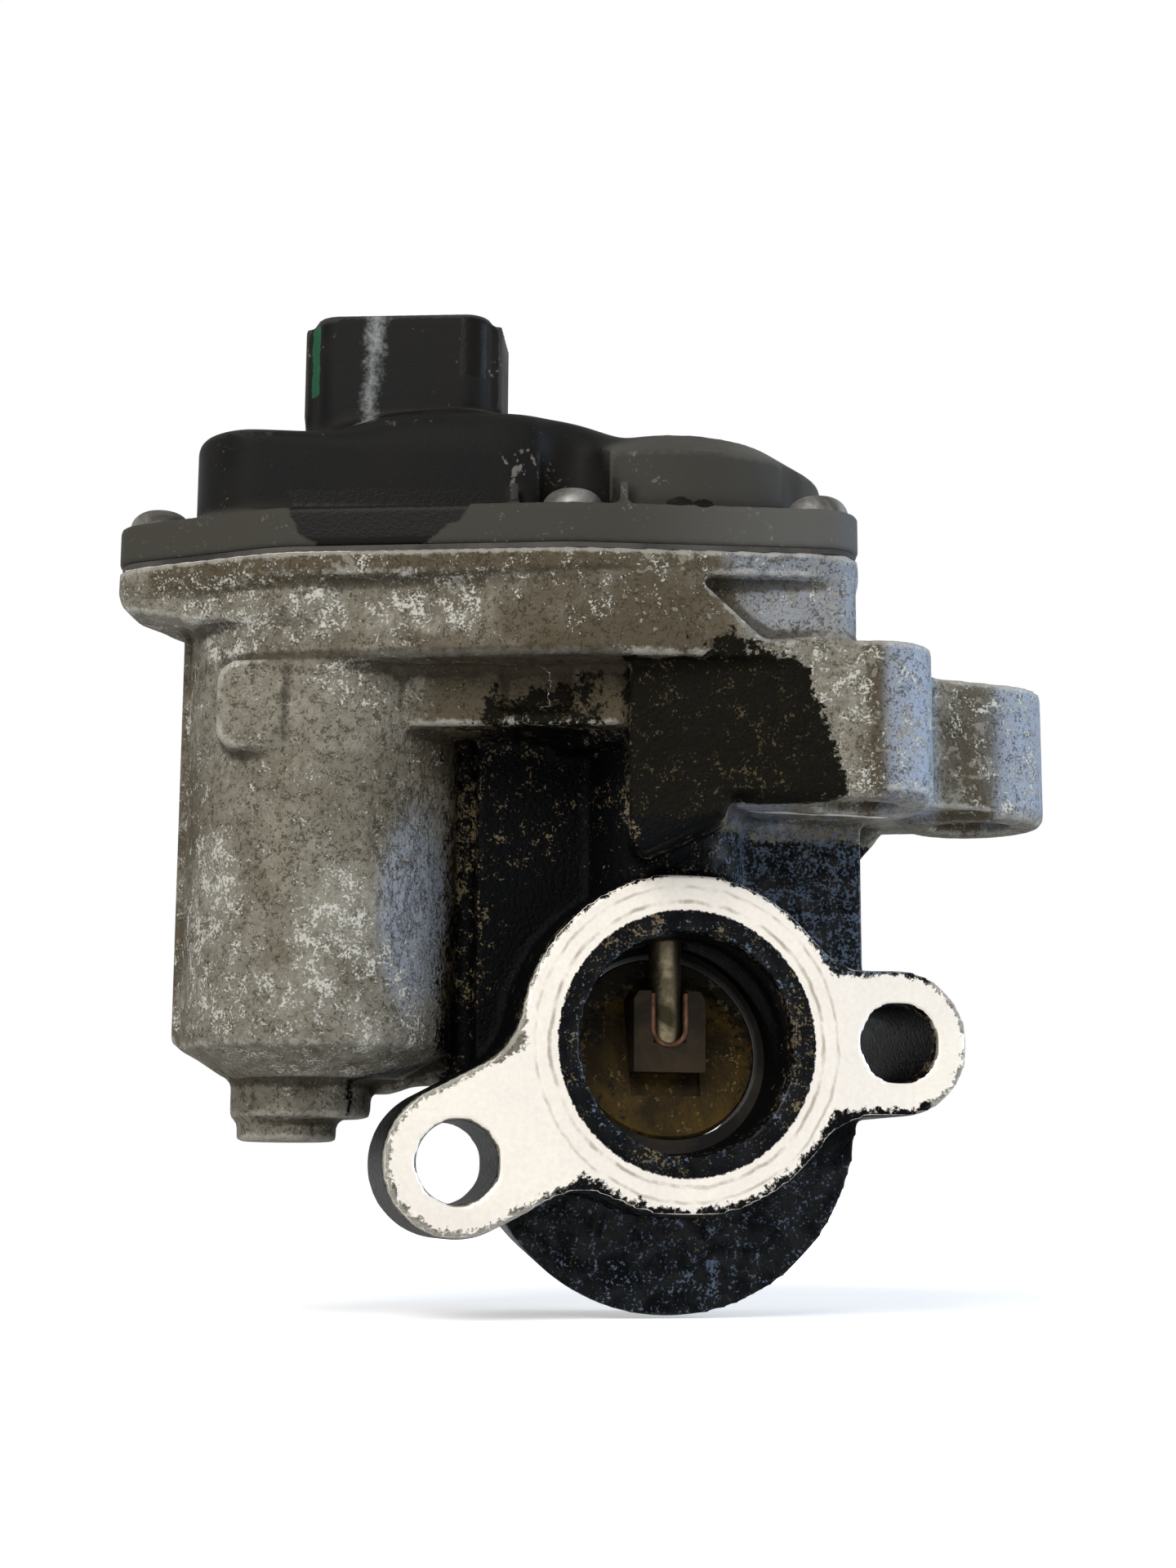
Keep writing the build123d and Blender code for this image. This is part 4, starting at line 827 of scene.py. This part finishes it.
@dataclass(frozen=True)
class Panel:
    """A convex outline of a painted field, seen from the front.

    Attributes:
        corners: its corners, across and up, in millimetres, going clockwise.
        depth: nearest and farthest depth that it reaches.
        soft: millimetres over which its edge goes from none to full.
        strength: the field's value inside.
        space: the coordinates that it is given in.
    """

    corners: tuple[Span, ...]
    depth: Span
    soft: float = 3.0
    strength: float = 1.0
    space: Space = Space.GEARBOX

    def values(self, points: dict[Space, np.ndarray]) -> np.ndarray:
        """Field at each point.

        Args:
            points: positions in millimetres in both spaces, one row each.

        Returns:
            The values: one half of the strength on the outline itself.
        """
        here = points[self.space]
        inside = np.minimum(here[:, 1] - self.depth[0], self.depth[1] - here[:, 1])
        for start, end in zip(self.corners, self.corners[1:] + self.corners[:1]):
            along = np.array(end) - np.array(start)
            along = along / np.linalg.norm(along)
            inside = np.minimum(inside, (here[:, 0] - start[0]) * along[1] - (here[:, 2] - start[1]) * along[0])
        return self.strength * np.clip(0.5 + inside / self.soft, 0.0, 1.0)


def block(across: Span, up: Span, depth: Span, soft: float = 3.0, strength: float = 1.0,
          space: Space = Space.GEARBOX) -> Panel:
    """A panel with a rectangular outline, from its least and greatest values across and up."""
    (left, right), (low, high) = across, up
    return Panel(((left, low), (left, high), (right, high), (right, low)), depth, soft, strength, space)


def strongest(shapes: list[Patch | Panel], points: dict[Space, np.ndarray]) -> np.ndarray:
    """The greatest value that any of the shapes gives at each point."""
    return np.max([shape.values(points) for shape in shapes], axis=0)


def vectors(source: bpy.types.bpy_prop_collection, kind: str) -> np.ndarray:
    """A vector of each point of a mesh.

    Args:
        source: the mesh's points.
        kind: which vector, such as co or normal.

    Returns:
        The vectors, one row each.
    """
    flat = np.zeros(len(source) * 3, np.float32)
    source.foreach_get(kind, flat)
    return flat.reshape(-1, 3).astype(float)


def in_both_spaces(mesh: bpy.types.Mesh) -> dict[Space, np.ndarray]:
    """Positions of a mesh's points.

    Args:
        mesh: the mesh.

    Returns:
        Millimetres in each space, one row for each point.
    """
    square = vectors(mesh.vertices, "co") / MM
    x, y = square[:, 0], square[:, 1] - SHAFT_DEPTH
    turned = np.stack((
        x * math.cos(DECK_TURN) + y * math.sin(DECK_TURN),
        y * math.cos(DECK_TURN) - x * math.sin(DECK_TURN),
        square[:, 2]), axis=1)
    return {Space.FLANGE: square, Space.GEARBOX: turned}


def bends(mesh: bpy.types.Mesh, rounds: int) -> np.ndarray:
    """How the surface bends at each point.

    Args:
        mesh: the mesh.
        rounds: how often each value is shared with its neighbours.

    Returns:
        Turn per millimetre, above 0 on ridges and below 0 in creases.
    """
    ends = np.zeros(len(mesh.edges) * 2, np.int32)
    mesh.edges.foreach_get("vertices", ends)
    first, second = ends.reshape(-1, 2).T
    places, normals = vectors(mesh.vertices, "co") / MM, vectors(mesh.vertices, "normal")

    def gathered(at_first: np.ndarray | None, at_second: np.ndarray | None) -> np.ndarray:
        """Sum at each point of what its edges hold for their first and their second end."""
        return np.bincount(first, at_first, len(places)) + np.bincount(second, at_second, len(places))

    along = places[second] - places[first]
    turn = np.sum((normals[second] - normals[first]) * along, axis=1)
    bend = turn / np.maximum(np.sum(along * along, axis=1), 0.01)
    shares = np.maximum(gathered(None, None), 1)
    values = gathered(bend, bend) / shares
    for _ in range(rounds):
        values = 0.5 * values + 0.5 * gathered(values[second], values[first]) / shares
    return values


# ------------------------------------------------------------------ modelling helpers
def only(piece: bpy.types.Object) -> None:
    """Select and activate one object alone.

    Args:
        piece: the object.
    """
    bpy.ops.object.select_all(action="DESELECT")
    piece.select_set(True)
    bpy.context.view_layer.objects.active = piece


def copy_of(node: str, name: str) -> bpy.types.Object:
    """A free copy of a CAD node with its loose triangles merged.

    Args:
        node: the CAD node.
        name: the new piece's name.

    Returns:
        The new piece, at the origin.
    """
    piece = bpy.data.objects.new(name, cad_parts[node].data.copy())
    bpy.context.scene.collection.objects.link(piece)
    only(piece)
    bpy.ops.object.mode_set(mode="EDIT")
    bpy.ops.mesh.select_all(action="SELECT")
    bpy.ops.mesh.remove_doubles(threshold=MERGED_WITHIN)
    bpy.ops.object.mode_set(mode="OBJECT")
    return piece


def apply(piece: bpy.types.Object, kind: str, name: str, **settings: object) -> None:
    """Add a modifier and apply it.

    Args:
        piece: the object.
        kind: the modifier's type.
        name: its name.
        **settings: its settings.
    """
    only(piece)
    modifier = piece.modifiers.new(name, kind)
    for key, value in settings.items():
        setattr(modifier, key, value)
    bpy.ops.object.modifier_apply(modifier=modifier.name)


# ------------------------------------------------------------------ dressed pieces
@dataclass
class SoftCopy:
    """A CAD node with the rounded edges of the real piece, and its painted fields.

    Attributes:
        node: the CAD node that it stands for.
        name: its own name.
        finish: its finish.
        slot: name of a material slot; not used.
        grid: size of the remeshed faces in millimetres.
        smoothing: how often the skin is relaxed.
        budget: most triangles kept.
        crease_gain: field value for a crease of one turn per millimetre.
        crease_rounds: how often a crease's values are shared with their neighbours.
        ridge_gain: as crease_gain, for a ridge.
        ridge_rounds: as crease_rounds, for a ridge.
        fillets: where sharp inner corners are filled.
        filling: how often the skin is relaxed there.
        mound: where the surface is raised, and the height in millimetres.
        stains: the painted fields by name.
    """

    node: str
    name: str
    finish: Finish
    slot: str
    grid: float = 0.5
    smoothing: int = 3
    budget: int = 190000
    crease_gain: float = 3.0
    crease_rounds: int = 5
    ridge_gain: float = 1.2
    ridge_rounds: int = 2
    fillets: tuple[Patch, ...] = ()
    filling: int = 120
    mound: tuple[Patch, float] | None = None
    stains: dict[str, list] = field(default_factory=dict)

    def fields(self, points: dict[Space, np.ndarray]) -> dict[str, np.ndarray]:
        """Each painted field's value at each point.

        Args:
            points: positions in both spaces.

        Returns:
            The values by field name.
        """
        return {name: strongest(shapes, points) for name, shapes in self.stains.items()}

    @staticmethod
    def _weigh(piece: bpy.types.Object, name: str, shapes: tuple[Patch, ...]) -> None:
        """Add a vertex group with what the shapes give at each point.

        Args:
            piece: the object.
            name: the group's name.
            shapes: where it lies.
        """
        weights = strongest(shapes, in_both_spaces(piece.data))
        group = piece.vertex_groups.new(name=name)
        for index in np.flatnonzero(weights > LEAST_WEIGHT):
            group.add([int(index)], float(weights[index]), "REPLACE")

    def _shape(self, piece: bpy.types.Object) -> None:
        """Round the edges of a copy of the node.

        Args:
            piece: the copy.
        """
        apply(piece, "REMESH", "skin", mode="VOXEL", voxel_size=self.grid * MM, use_smooth_shade=True)
        apply(piece, "SMOOTH", "soften", factor=0.5, iterations=self.smoothing)
        if self.mound is not None:
            place, height = self.mound
            self._weigh(piece, "mound", (place,))
            apply(piece, "DISPLACE", "raise", direction="Z", mid_level=0.0, strength=height * MM,
                  vertex_group="mound")
        if self.fillets:
            self._weigh(piece, "fillets", self.fillets)
            apply(piece, "SMOOTH", "fill", factor=0.5, iterations=self.filling, vertex_group="fillets")
        apply(piece, "DECIMATE", "thin", ratio=min(1.0, self.budget / (2 * len(piece.data.polygons))))
        only(piece)
        bpy.ops.object.shade_smooth()

    def build(self) -> bpy.types.Object:
        """Round the node's edges, paint it and put it in the node's place.

        Returns:
            The piece, riding on the housing.
        """
        piece = copy_of(self.node, self.name)
        self._shape(piece)
        fields = self.fields(in_both_spaces(piece.data))
        creases = -self.crease_gain * bends(piece.data, self.crease_rounds)
        fields["crease"] = np.maximum(fields.get("crease", 0.0), creases)
        fields["ridge"] = self.ridge_gain * bends(piece.data, self.ridge_rounds)
        for name, values in fields.items():
            layer = piece.data.attributes.new(name, "FLOAT", "POINT")
            layer.data.foreach_set("value", np.clip(values, 0.0, 1.0).astype(np.float32))
        self.finish.dress(piece)
        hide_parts(self.node)
        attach(piece, "housing")
        log.info("%s: %d faces", self.name, len(piece.data.polygons))
        return piece


@dataclass
class Casting(SoftCopy):
    """The aluminium housing.

    Attributes:
        port_r: radius of the inlet port.
        flange_r: radius of the round part of the flange.
        lugs: centres of the flange lugs, x and z.
        lug_r: radius of the lugs.
        hole_r: radius of the lug holes.
        face_y: depth up to which the skin is the flange's machined face.
        pad_z: height of the bracket's machined underside.
        pad_reach: greatest x and y of it.
        outlet_y: depth of the outlet's face.
        outlet_reach: greatest x to each side, and greatest height, of it.
        deck_z: height from which the cover's seat is machined.
        skin: how far the skin may lie off a machined plane.
    """

    node: str = "main_housing"
    name: str = "cast_housing"
    finish: Finish = CorrodedCasting("cast_aluminium")
    slot: str = "cast_aluminium"
    port_r: float = 12.25
    flange_r: float = 19.0
    lugs: tuple[Span, ...] = ((-25.6, -13.2), (24.8, 0.5))
    lug_r: float = 8.2
    hole_r: float = 4.5
    face_y: float = 0.16
    pad_z: float = 26.2
    pad_reach: Span = (27.0, 0.3)
    outlet_y: float = 31.0
    outlet_reach: Span = (25.0, 27.0)
    deck_z: float = 53.3
    skin: float = 0.2
    stains: dict[str, list] = field(default_factory=lambda: {
        "soot": [
            # Soot, and painted shade in the recess between the motor housing and the valve body
            Panel(((-26, -40), (-24.2, 35), (-9, 36.5), (-4, 34), (-2, -40)), (-14, 40), 6),
            Panel(((-6, -40), (-6, 24), (30, 25), (30, -40)), (-30, 40), 3),
            block((-22.5, 40), (-40, 24), (0.6, 34), 1.4, 1, Space.FLANGE),
            Panel(((-36, -40), (-36, -4), (0, 4), (0, -40)), (0.6, 13), 1.4, 1, Space.FLANGE),
        ],
        "oil": [
            Panel(((-4.8, 20), (-3, 44.6), (3.6, 46.2), (7.2, 44.6), (15.4, 44), (16.4, 40.4), (21.6, 36.6),
                   (22.6, 32.6), (20.4, 27), (14, 24)), (-18.5, -13), 6, 1.1),
            Panel(((-22, 34), (-20, 40.5), (-5, 42.5), (-5, 24)), (-18, 10), 7, 0.62),
        ],
        "salt": [
            Patch((-38, -6, 22), (22, 30, 34), 0.3),
            Patch((-34, -16, 2), (16, 16, 10), 0.48),
            Patch((-57, -4, 20), (9, 20, 36), 0.42),
            Patch((-35.5, -17, 11), (5.5, 8, 9), 0.6),
            Patch((-49.5, -14, 13), (5, 8, 13), 0.56),
            Patch((-49, -19, 46), (6.5, 8, 6), 0.6),
            Patch((-38, -20, 47), (4.5, 8, 4), 0.58),
            Patch((-26, -20, 47.5), (7, 8, 4.5), 0.55),
            Patch((-34, -18, 39), (4, 8, 3), 0.55),
            Patch((-50, -8, 50), (24, 34, 10), 0.4),
            block((-30, 22), (43, 56), (-24, 30), 8, 0.36),
            Panel(((13, 26), (10, 44), (25, 44), (25, 26)), (-22, 20), 4, 0.5),
            block((25, 46), (26, 46), (-22, 20), 3, 0.4),
            Patch((0, 26, 20), (60, 16, 60), 0.35),
        ],
        "brown": [
            Panel(((-30, 42), (-30, 54), (6, 54), (2, 42)), (-24, 30), 16, 0.5),
            block((-26, 0), (30, 44), (-20, 12), 6, 0.95),
            Panel(((-18, 41), (-4, 50.5), (7, 50.5), (7, 40)), (-24, 12), 5),
            Panel(((-58, 49.8), (-58, 54.5), (26, 54.5), (26, 51.6)), (-30, -8), 1.4, 0.95),
            Patch((-57, -4, 22), (6, 20, 30), 0.45),
            block((22.6, 24.8), (27, 45), (-22, 0), 1.6),
            Patch((35, 4, 34), (4.6, 12, 12), 0.8),
        ],
        # Painted bluish highlights: the bracket's right facets, the rear boss, the pocket wall, a lit strip along
        # the bracket's lower edge and the motor housing's right side
        "blue_highlight": [
            block((24.8, 31), (26.5, 45), (-22, 2), 1.4, 0.95),
            block((38.2, 46), (27, 45), (-20, 16), 2, 0.85),
            Panel(((7, 54), (26, 54), (26, 44.5), (10.5, 44.5)), (-22, 12), 3, 0.6),
            block((3, 14), (25.5, 27.5), (-22, 12), 1, 0.6),
            Patch((-27, -13, 14), (4.2, 8, 11), 0.7),
        ],
        # Wet soot: its gloss, and the painted glints laid on it
        "wet": [
            Panel(((4, 14), (4, 30), (27, 27), (27, 2), (18, 6)), (-2, 32), 5, 0.56, Space.FLANGE),
            Panel(((-20, -32), (-20, -16), (24, -10), (24, -32)), (0.5, 32), 5, 0.4, Space.FLANGE),
            # A painted upright highlight strip on the valve body's lower front
            Patch((6, 8, -24), (0.8, 14, 5), 0.6, Space.FLANGE),
            # Painted glints, fine bluish-grey specks, in the port's soot ring
            Patch((0, 0, 0), (14, 1.5, 14), 0.5, Space.FLANGE),
        ],
        "grit": [
            Panel(((-34, 6), (-34, 44), (-19, 40), (-19, 6)), (-20, 20), 8, 0.34),
            block((-20, 24), (20, 44), (-20, 20), 8, 0.14),
            Patch((0, 0, 0), (60, 3, 40), 0.2, Space.FLANGE),
        ],
        # Painted shadow lines: under the step on the motor housing, under the tray's lip and along the motor pad's
        # right edge
        "crease": [
            block((-56, -4), (41.5, 42.6), (-30, 0), 1.2, 0.9),
            Panel(((-54, 49), (-54, 49.8), (-3, 51.8), (-3, 51)), (-30, -8), 1, 0.8),
            Panel(((-41.7, 32.4), (-41.6, 41.2), (-40.8, 41.2), (-41, 32.4)), (-30, -8), 1.3),
        ],
        "cracks": [Patch((-28.5, -14, 22), (3.6, 8, 16), 0.6)],
    })

    def _rim(self, flat: np.ndarray) -> np.ndarray:
        """How far in from the flange's outline and lug holes each point of its face lies.

        Args:
            flat: positions across and up in millimetres.

        Returns:
            About 0.34 at the outline, 1 and more well inside.
        """
        inside = self.flange_r - np.linalg.norm(flat, axis=1)
        hole = np.full(len(flat), 99.0)
        for lug in self.lugs:
            centre = np.array(lug)
            along = np.clip(flat @ centre / (centre @ centre), 0.0, 1.0)
            arm = self.lug_r - np.linalg.norm(flat - along[:, None] * centre, axis=1)
            inside = np.maximum(inside, arm)
            hole = np.minimum(hole, np.linalg.norm(flat - centre, axis=1) - self.hole_r)
        # The edge is chipped wider at the bottom and on the right
        chips = 3.0 + 2.0 * np.clip(-flat[:, 1] / 18.0, -0.2, 1.0) + 1.4 * np.clip(flat[:, 0] / 20.0, 0.0, 1.0)
        return 0.34 + np.minimum(inside / chips, 0.2 + hole / 1.2)

    def fields(self, points: dict[Space, np.ndarray]) -> dict[str, np.ndarray]:
        """Each painted field, with the bore's soot and the machined faces.

        Args:
            points: positions in both spaces.

        Returns:
            The values by field name.
        """
        fields = super().fields(points)
        x, y, z = points[Space.FLANGE].T
        flat = points[Space.FLANGE][:, (0, 2)]
        rim = self._rim(flat)
        face = y < self.face_y
        pad = (np.abs(z - self.pad_z) < self.skin) & (x < self.pad_reach[0]) & (y < self.pad_reach[1])
        outlet = ((np.abs(y - self.outlet_y) < self.skin) & (np.abs(x) < self.outlet_reach[0])
                  & (z < self.outlet_reach[1]))
        bore = (np.linalg.norm(flat, axis=1) < self.port_r + 2 * self.skin) & (y > self.skin)
        fields["soot"] = np.where(bore | (face & (rim >= 0.9)), 1.0, fields["soot"])
        fields["machined"] = (face | pad | outlet | (z > self.deck_z)).astype(float)
        fields["rim"] = np.where(face, rim, 1.0)
        return fields


@dataclass
class CoverMoulding(SoftCopy):
    """The black plastic cover with its connector shroud."""

    node: str = "cover"
    name: str = "moulded_cover"
    finish: Finish = OiledCover("cover_plastic")
    slot: str = "black_plastic"
    grid: float = 0.4
    smoothing: int = 2
    fillets: tuple[Patch, ...] = (Patch((-25, -5, 69.5), (23, 17, 4)),)
    mound: tuple[Patch, float] = (Patch((-22.5, -4.5, 69), (17.5, 14, 3)), 2.7)
    stains: dict[str, list] = field(default_factory=lambda: {
        "scuff": [Panel(((-34.9, 70), (-34.4, 86), (-32.2, 86), (-33.4, 70)), (-14, -9), 2.6, 0.72)],
        "scratch": [
            Panel(((-18.4, 66), (-18.1, 66.2), (-16.3, 63.2), (-16.6, 63)), (-26, -8), 0.5, 0.8),
            Panel(((-16.9, 66.6), (-16.6, 66.7), (-15.2, 63.4), (-15.5, 63.2)), (-26, -8), 0.5, 0.8),
            Panel(((-15.2, 66.4), (-14.8, 66.5), (-13.9, 64.6), (-14.2, 64.4)), (-26, -8), 0.4, 0.8),
            Panel(((-16.8, 64.4), (-16, 64.4), (-16.5, 58.8), (-17, 58.8)), (-26, -8), 0.9, 0.75),
        ],
        "paint_mark": [block((-41.2, -40.1), (75.5, 84), (-12, 2), 1)],
        "wet": [
            Panel(((-42.5, 61.5), (-18.5, 61.5), (-22, 56.4), (-26, 54), (-31, 52.6), (-36, 52.8), (-40, 55)),
                  (-27, -10), 3, 0.9),
            Patch((2.2, -20, 59.2), (1.6, 5, 0.7), 0.8),
            Patch((5, -20, 59.1), (1.2, 5, 0.8), 0.8),
            block((-23.6, -18.6), (77, 84.6), (-12.5, -9), 1.4, 0.8),
        ],
        "dusty": [Panel(((-3.8, 58), (-6.4, 66.5), (2, 72), (40, 72), (40, 58)), (-40, 40), 4, 0.9)],
    })


@dataclass
class Braze:
    """The bead of braze that holds the shaft's end in the saddle's slot.

    Attributes:
        inner: radius of the bead's path in millimetres.
        thick: radius of the bead.
        depth: how far behind the flange it lies.
        middle: height where the bead's round end meets its straight legs.
        head: height of the saddle's top.
        finish: its finish.
    """

    inner: float = 1.95
    thick: float = 0.34
    depth: float = 7.95
    middle: float = 2.15
    head: float = 6.1
    finish: Finish = Metal("braze_copper", colour=(0.12, 0.06, 0.035), stain=(0.02, 0.011, 0.006), stained=0.8,
                           roughness=0.45, metallic=0.6, scale=2400.0)

    def build(self) -> bpy.types.Object:
        """Model the bead: the lower half of a ring with its two ends drawn up.

        Returns:
            The bead, riding on the flap.
        """
        middle = self.middle * MM
        bpy.ops.object.select_all(action="DESELECT")
        bpy.ops.mesh.primitive_torus_add(
            major_radius=self.inner * MM, minor_radius=self.thick * MM, major_segments=48, minor_segments=14,
            location=(0.0, self.depth * MM, middle), rotation=(math.pi / 2, 0.0, 0.0))
        bead = bpy.context.object
        bead.name = "shaft_braze"
        only(bead)
        bpy.ops.object.transform_apply(location=True, rotation=True, scale=True)
        bpy.ops.object.mode_set(mode="EDIT")
        bpy.ops.mesh.select_all(action="SELECT")
        bpy.ops.mesh.bisect(plane_co=(0.0, 0.0, middle), plane_no=(0.0, 0.0, 1.0), clear_outer=True)
        bpy.ops.mesh.select_all(action="DESELECT")
        bpy.ops.mesh.select_mode(type="EDGE")
        bpy.ops.mesh.select_non_manifold()
        bpy.ops.mesh.extrude_region_move(TRANSFORM_OT_translate={"value": (0.0, 0.0, self.head * MM - middle)})
        bpy.ops.mesh.edge_face_add()
        bpy.ops.mesh.select_all(action="SELECT")
        bpy.ops.mesh.normals_make_consistent(inside=False)
        bpy.ops.object.mode_set(mode="OBJECT")
        only(bead)
        bpy.ops.object.shade_smooth_by_angle(angle=math.radians(50.0))
        self.finish.dress(bead)
        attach(bead, "flap")
        log.info("%s: %d faces", bead.name, len(bead.data.polygons))
        return bead


# ------------------------------------------------------------------ stage
@dataclass(frozen=True)
class Lamp:
    """A soft area lamp aimed at the object.

    Attributes:
        name: its name.
        place: its place in metres.
        size: its side in metres.
        power: its power in watts.
        tint: its colour.
    """

    name: str
    place: Point
    size: float
    power: float
    tint: Colour

    def build(self, target: Vector) -> None:
        """Add the lamp.

        Args:
            target: the point that it is aimed at, in metres.
        """
        light = bpy.data.lights.new(self.name, "AREA")
        light.size, light.energy, light.color = self.size, self.power, self.tint
        holder = bpy.data.objects.new(self.name, light)
        bpy.context.scene.collection.objects.link(holder)
        holder.rotation_euler = (target - Vector(self.place)).to_track_quat("-Z", "Y").to_euler()
        holder.location = self.place


@dataclass
class Studio:
    """Floor, world, lamps and camera.

    Attributes:
        camera_at: the camera's place in millimetres.
        azimuth: the camera's azimuth in degrees.
        elevation: its elevation in degrees.
        roll: its roll in degrees.
        lens: focal length in millimetres.
        sensor: height of its sensor.
        aim: the point that the lamps are aimed at, in metres.
        lamps: the lamps.
        sky: colour of the even light.
        sky_power: its strength.
        ground: colour of the floor.
        fade: distance in metres from which the floor turns white, and where it is all white.
        glow: how much of the backdrop's white the floor has under the object.
    """

    camera_at: Point = (-71.89, -251.16, -17.06)
    azimuth: float = -13.5
    elevation: float = -10.0
    roll: float = 0.3
    lens: float = 54.1
    sensor: float = 36.0
    aim: Point = (-0.005, 0.015, 0.02)
    lamps: tuple[Lamp, ...] = (
        Lamp("key_left", (-0.4, -0.55, 0.5), 0.45, 6.6, (1.0, 0.97, 0.93)),
        Lamp("fill_right", (0.5, -0.12, 0.15), 0.3, 2.4, (0.62, 0.78, 1.0)),
    )
    sky: Colour = (0.95, 0.97, 1.0)
    sky_power: float = 0.3
    ground: Colour = (0.85, 0.85, 0.85)
    fade: Span = (0.08, 0.3)
    glow: float = 0.45

    def camera(self) -> None:
        """Add the camera."""
        turn, rise, roll = (math.radians(v) for v in (self.azimuth, self.elevation, self.roll))
        back = Vector((math.sin(turn) * math.cos(rise), -math.cos(turn) * math.cos(rise), math.sin(rise)))
        right = (-back).cross(Vector((0, 0, 1))).normalized()
        up = right.cross(-back)
        aside = right * math.cos(roll) + up * math.sin(roll)
        above = up * math.cos(roll) - right * math.sin(roll)
        lens = bpy.data.cameras.new("camera")
        lens.sensor_fit = "VERTICAL"
        lens.sensor_height = self.sensor
        lens.lens = self.lens
        lens.clip_start = 0.01
        holder = bpy.data.objects.new("camera", lens)
        bpy.context.scene.collection.objects.link(holder)
        holder.matrix_world = Matrix.Translation(Vector(self.camera_at) * MM) @ Matrix(
            (aside, above, back)).transposed().to_4x4()
        bpy.context.scene.camera = holder

    def world(self) -> None:
        """Light the scene evenly and show white behind it."""
        world = bpy.data.worlds.new("studio")
        bpy.context.scene.world = world
        world.use_nodes = True
        world.node_tree.nodes.clear()
        shader = Shader(world.node_tree)
        lit = shader.made("ShaderNodeBackground", {"Color": self.sky, "Strength": self.sky_power})
        seen = shader.made("ShaderNodeBackground", {"Color": (1.0, 1.0, 1.0)})
        mix = shader.made("ShaderNodeMixShader", {0: shader.seen_as_backdrop(), 1: lit, 2: seen})
        shader.feed(shader.node("ShaderNodeOutputWorld"), {"Surface": mix})

    def floor(self) -> None:
        """Add the pale floor under the object."""
        bpy.ops.object.select_all(action="DESELECT")
        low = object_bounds()[0][2]
        bpy.ops.mesh.primitive_plane_add(size=6.0, location=(0, 0, 0))
        plane = bpy.context.object
        plane.name = "floor"
        plane.data.transform(Matrix.Translation((0, 0, low - 0.2 * MM)))
        material = bpy.data.materials.new("floor_pale")
        material.use_nodes = True
        material.node_tree.nodes.clear()
        shader = Shader(material.node_tree)
        surface = shader.made("ShaderNodeBsdfPrincipled", {"Base Color": self.ground, "Roughness": 0.9})
        away = shader.radius((0.0, 0.0, 0.0), (1.0, 1.0, 0.0))
        white = shader.level(shader.step(away, *self.fade), self.glow, 1.0)
        lift = shader.sums("MULTIPLY", shader.seen_as_backdrop(), white)
        glow = shader.made("ShaderNodeEmission", {"Strength": lift})
        both = shader.made("ShaderNodeAddShader", {0: surface, 1: glow})
        shader.feed(shader.node("ShaderNodeOutputMaterial"), {"Surface": both})
        plane.data.materials.append(material)
        plane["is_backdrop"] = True

    def build(self) -> None:
        """Set up the whole stage."""
        self.world()
        self.floor()
        self.camera()
        for lamp in self.lamps:
            lamp.build(Vector(self.aim))
        bpy.context.scene.view_settings.view_transform = "Standard"


def main() -> None:
    """Build and dress the valve, then the stage."""
    logging.basicConfig(level=logging.INFO, format="%(message)s")
    Studio().build()
    for node, finish in PLAIN_FINISHES.items():
        finish.dress(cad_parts[node])
    for piece in (Casting(), CoverMoulding()):
        piece.finish.dress(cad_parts[piece.node])
        piece.build()
    Braze().build()
    log.info("dressed %d nodes", len(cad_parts))


if __name__ == "__main__":
    main()
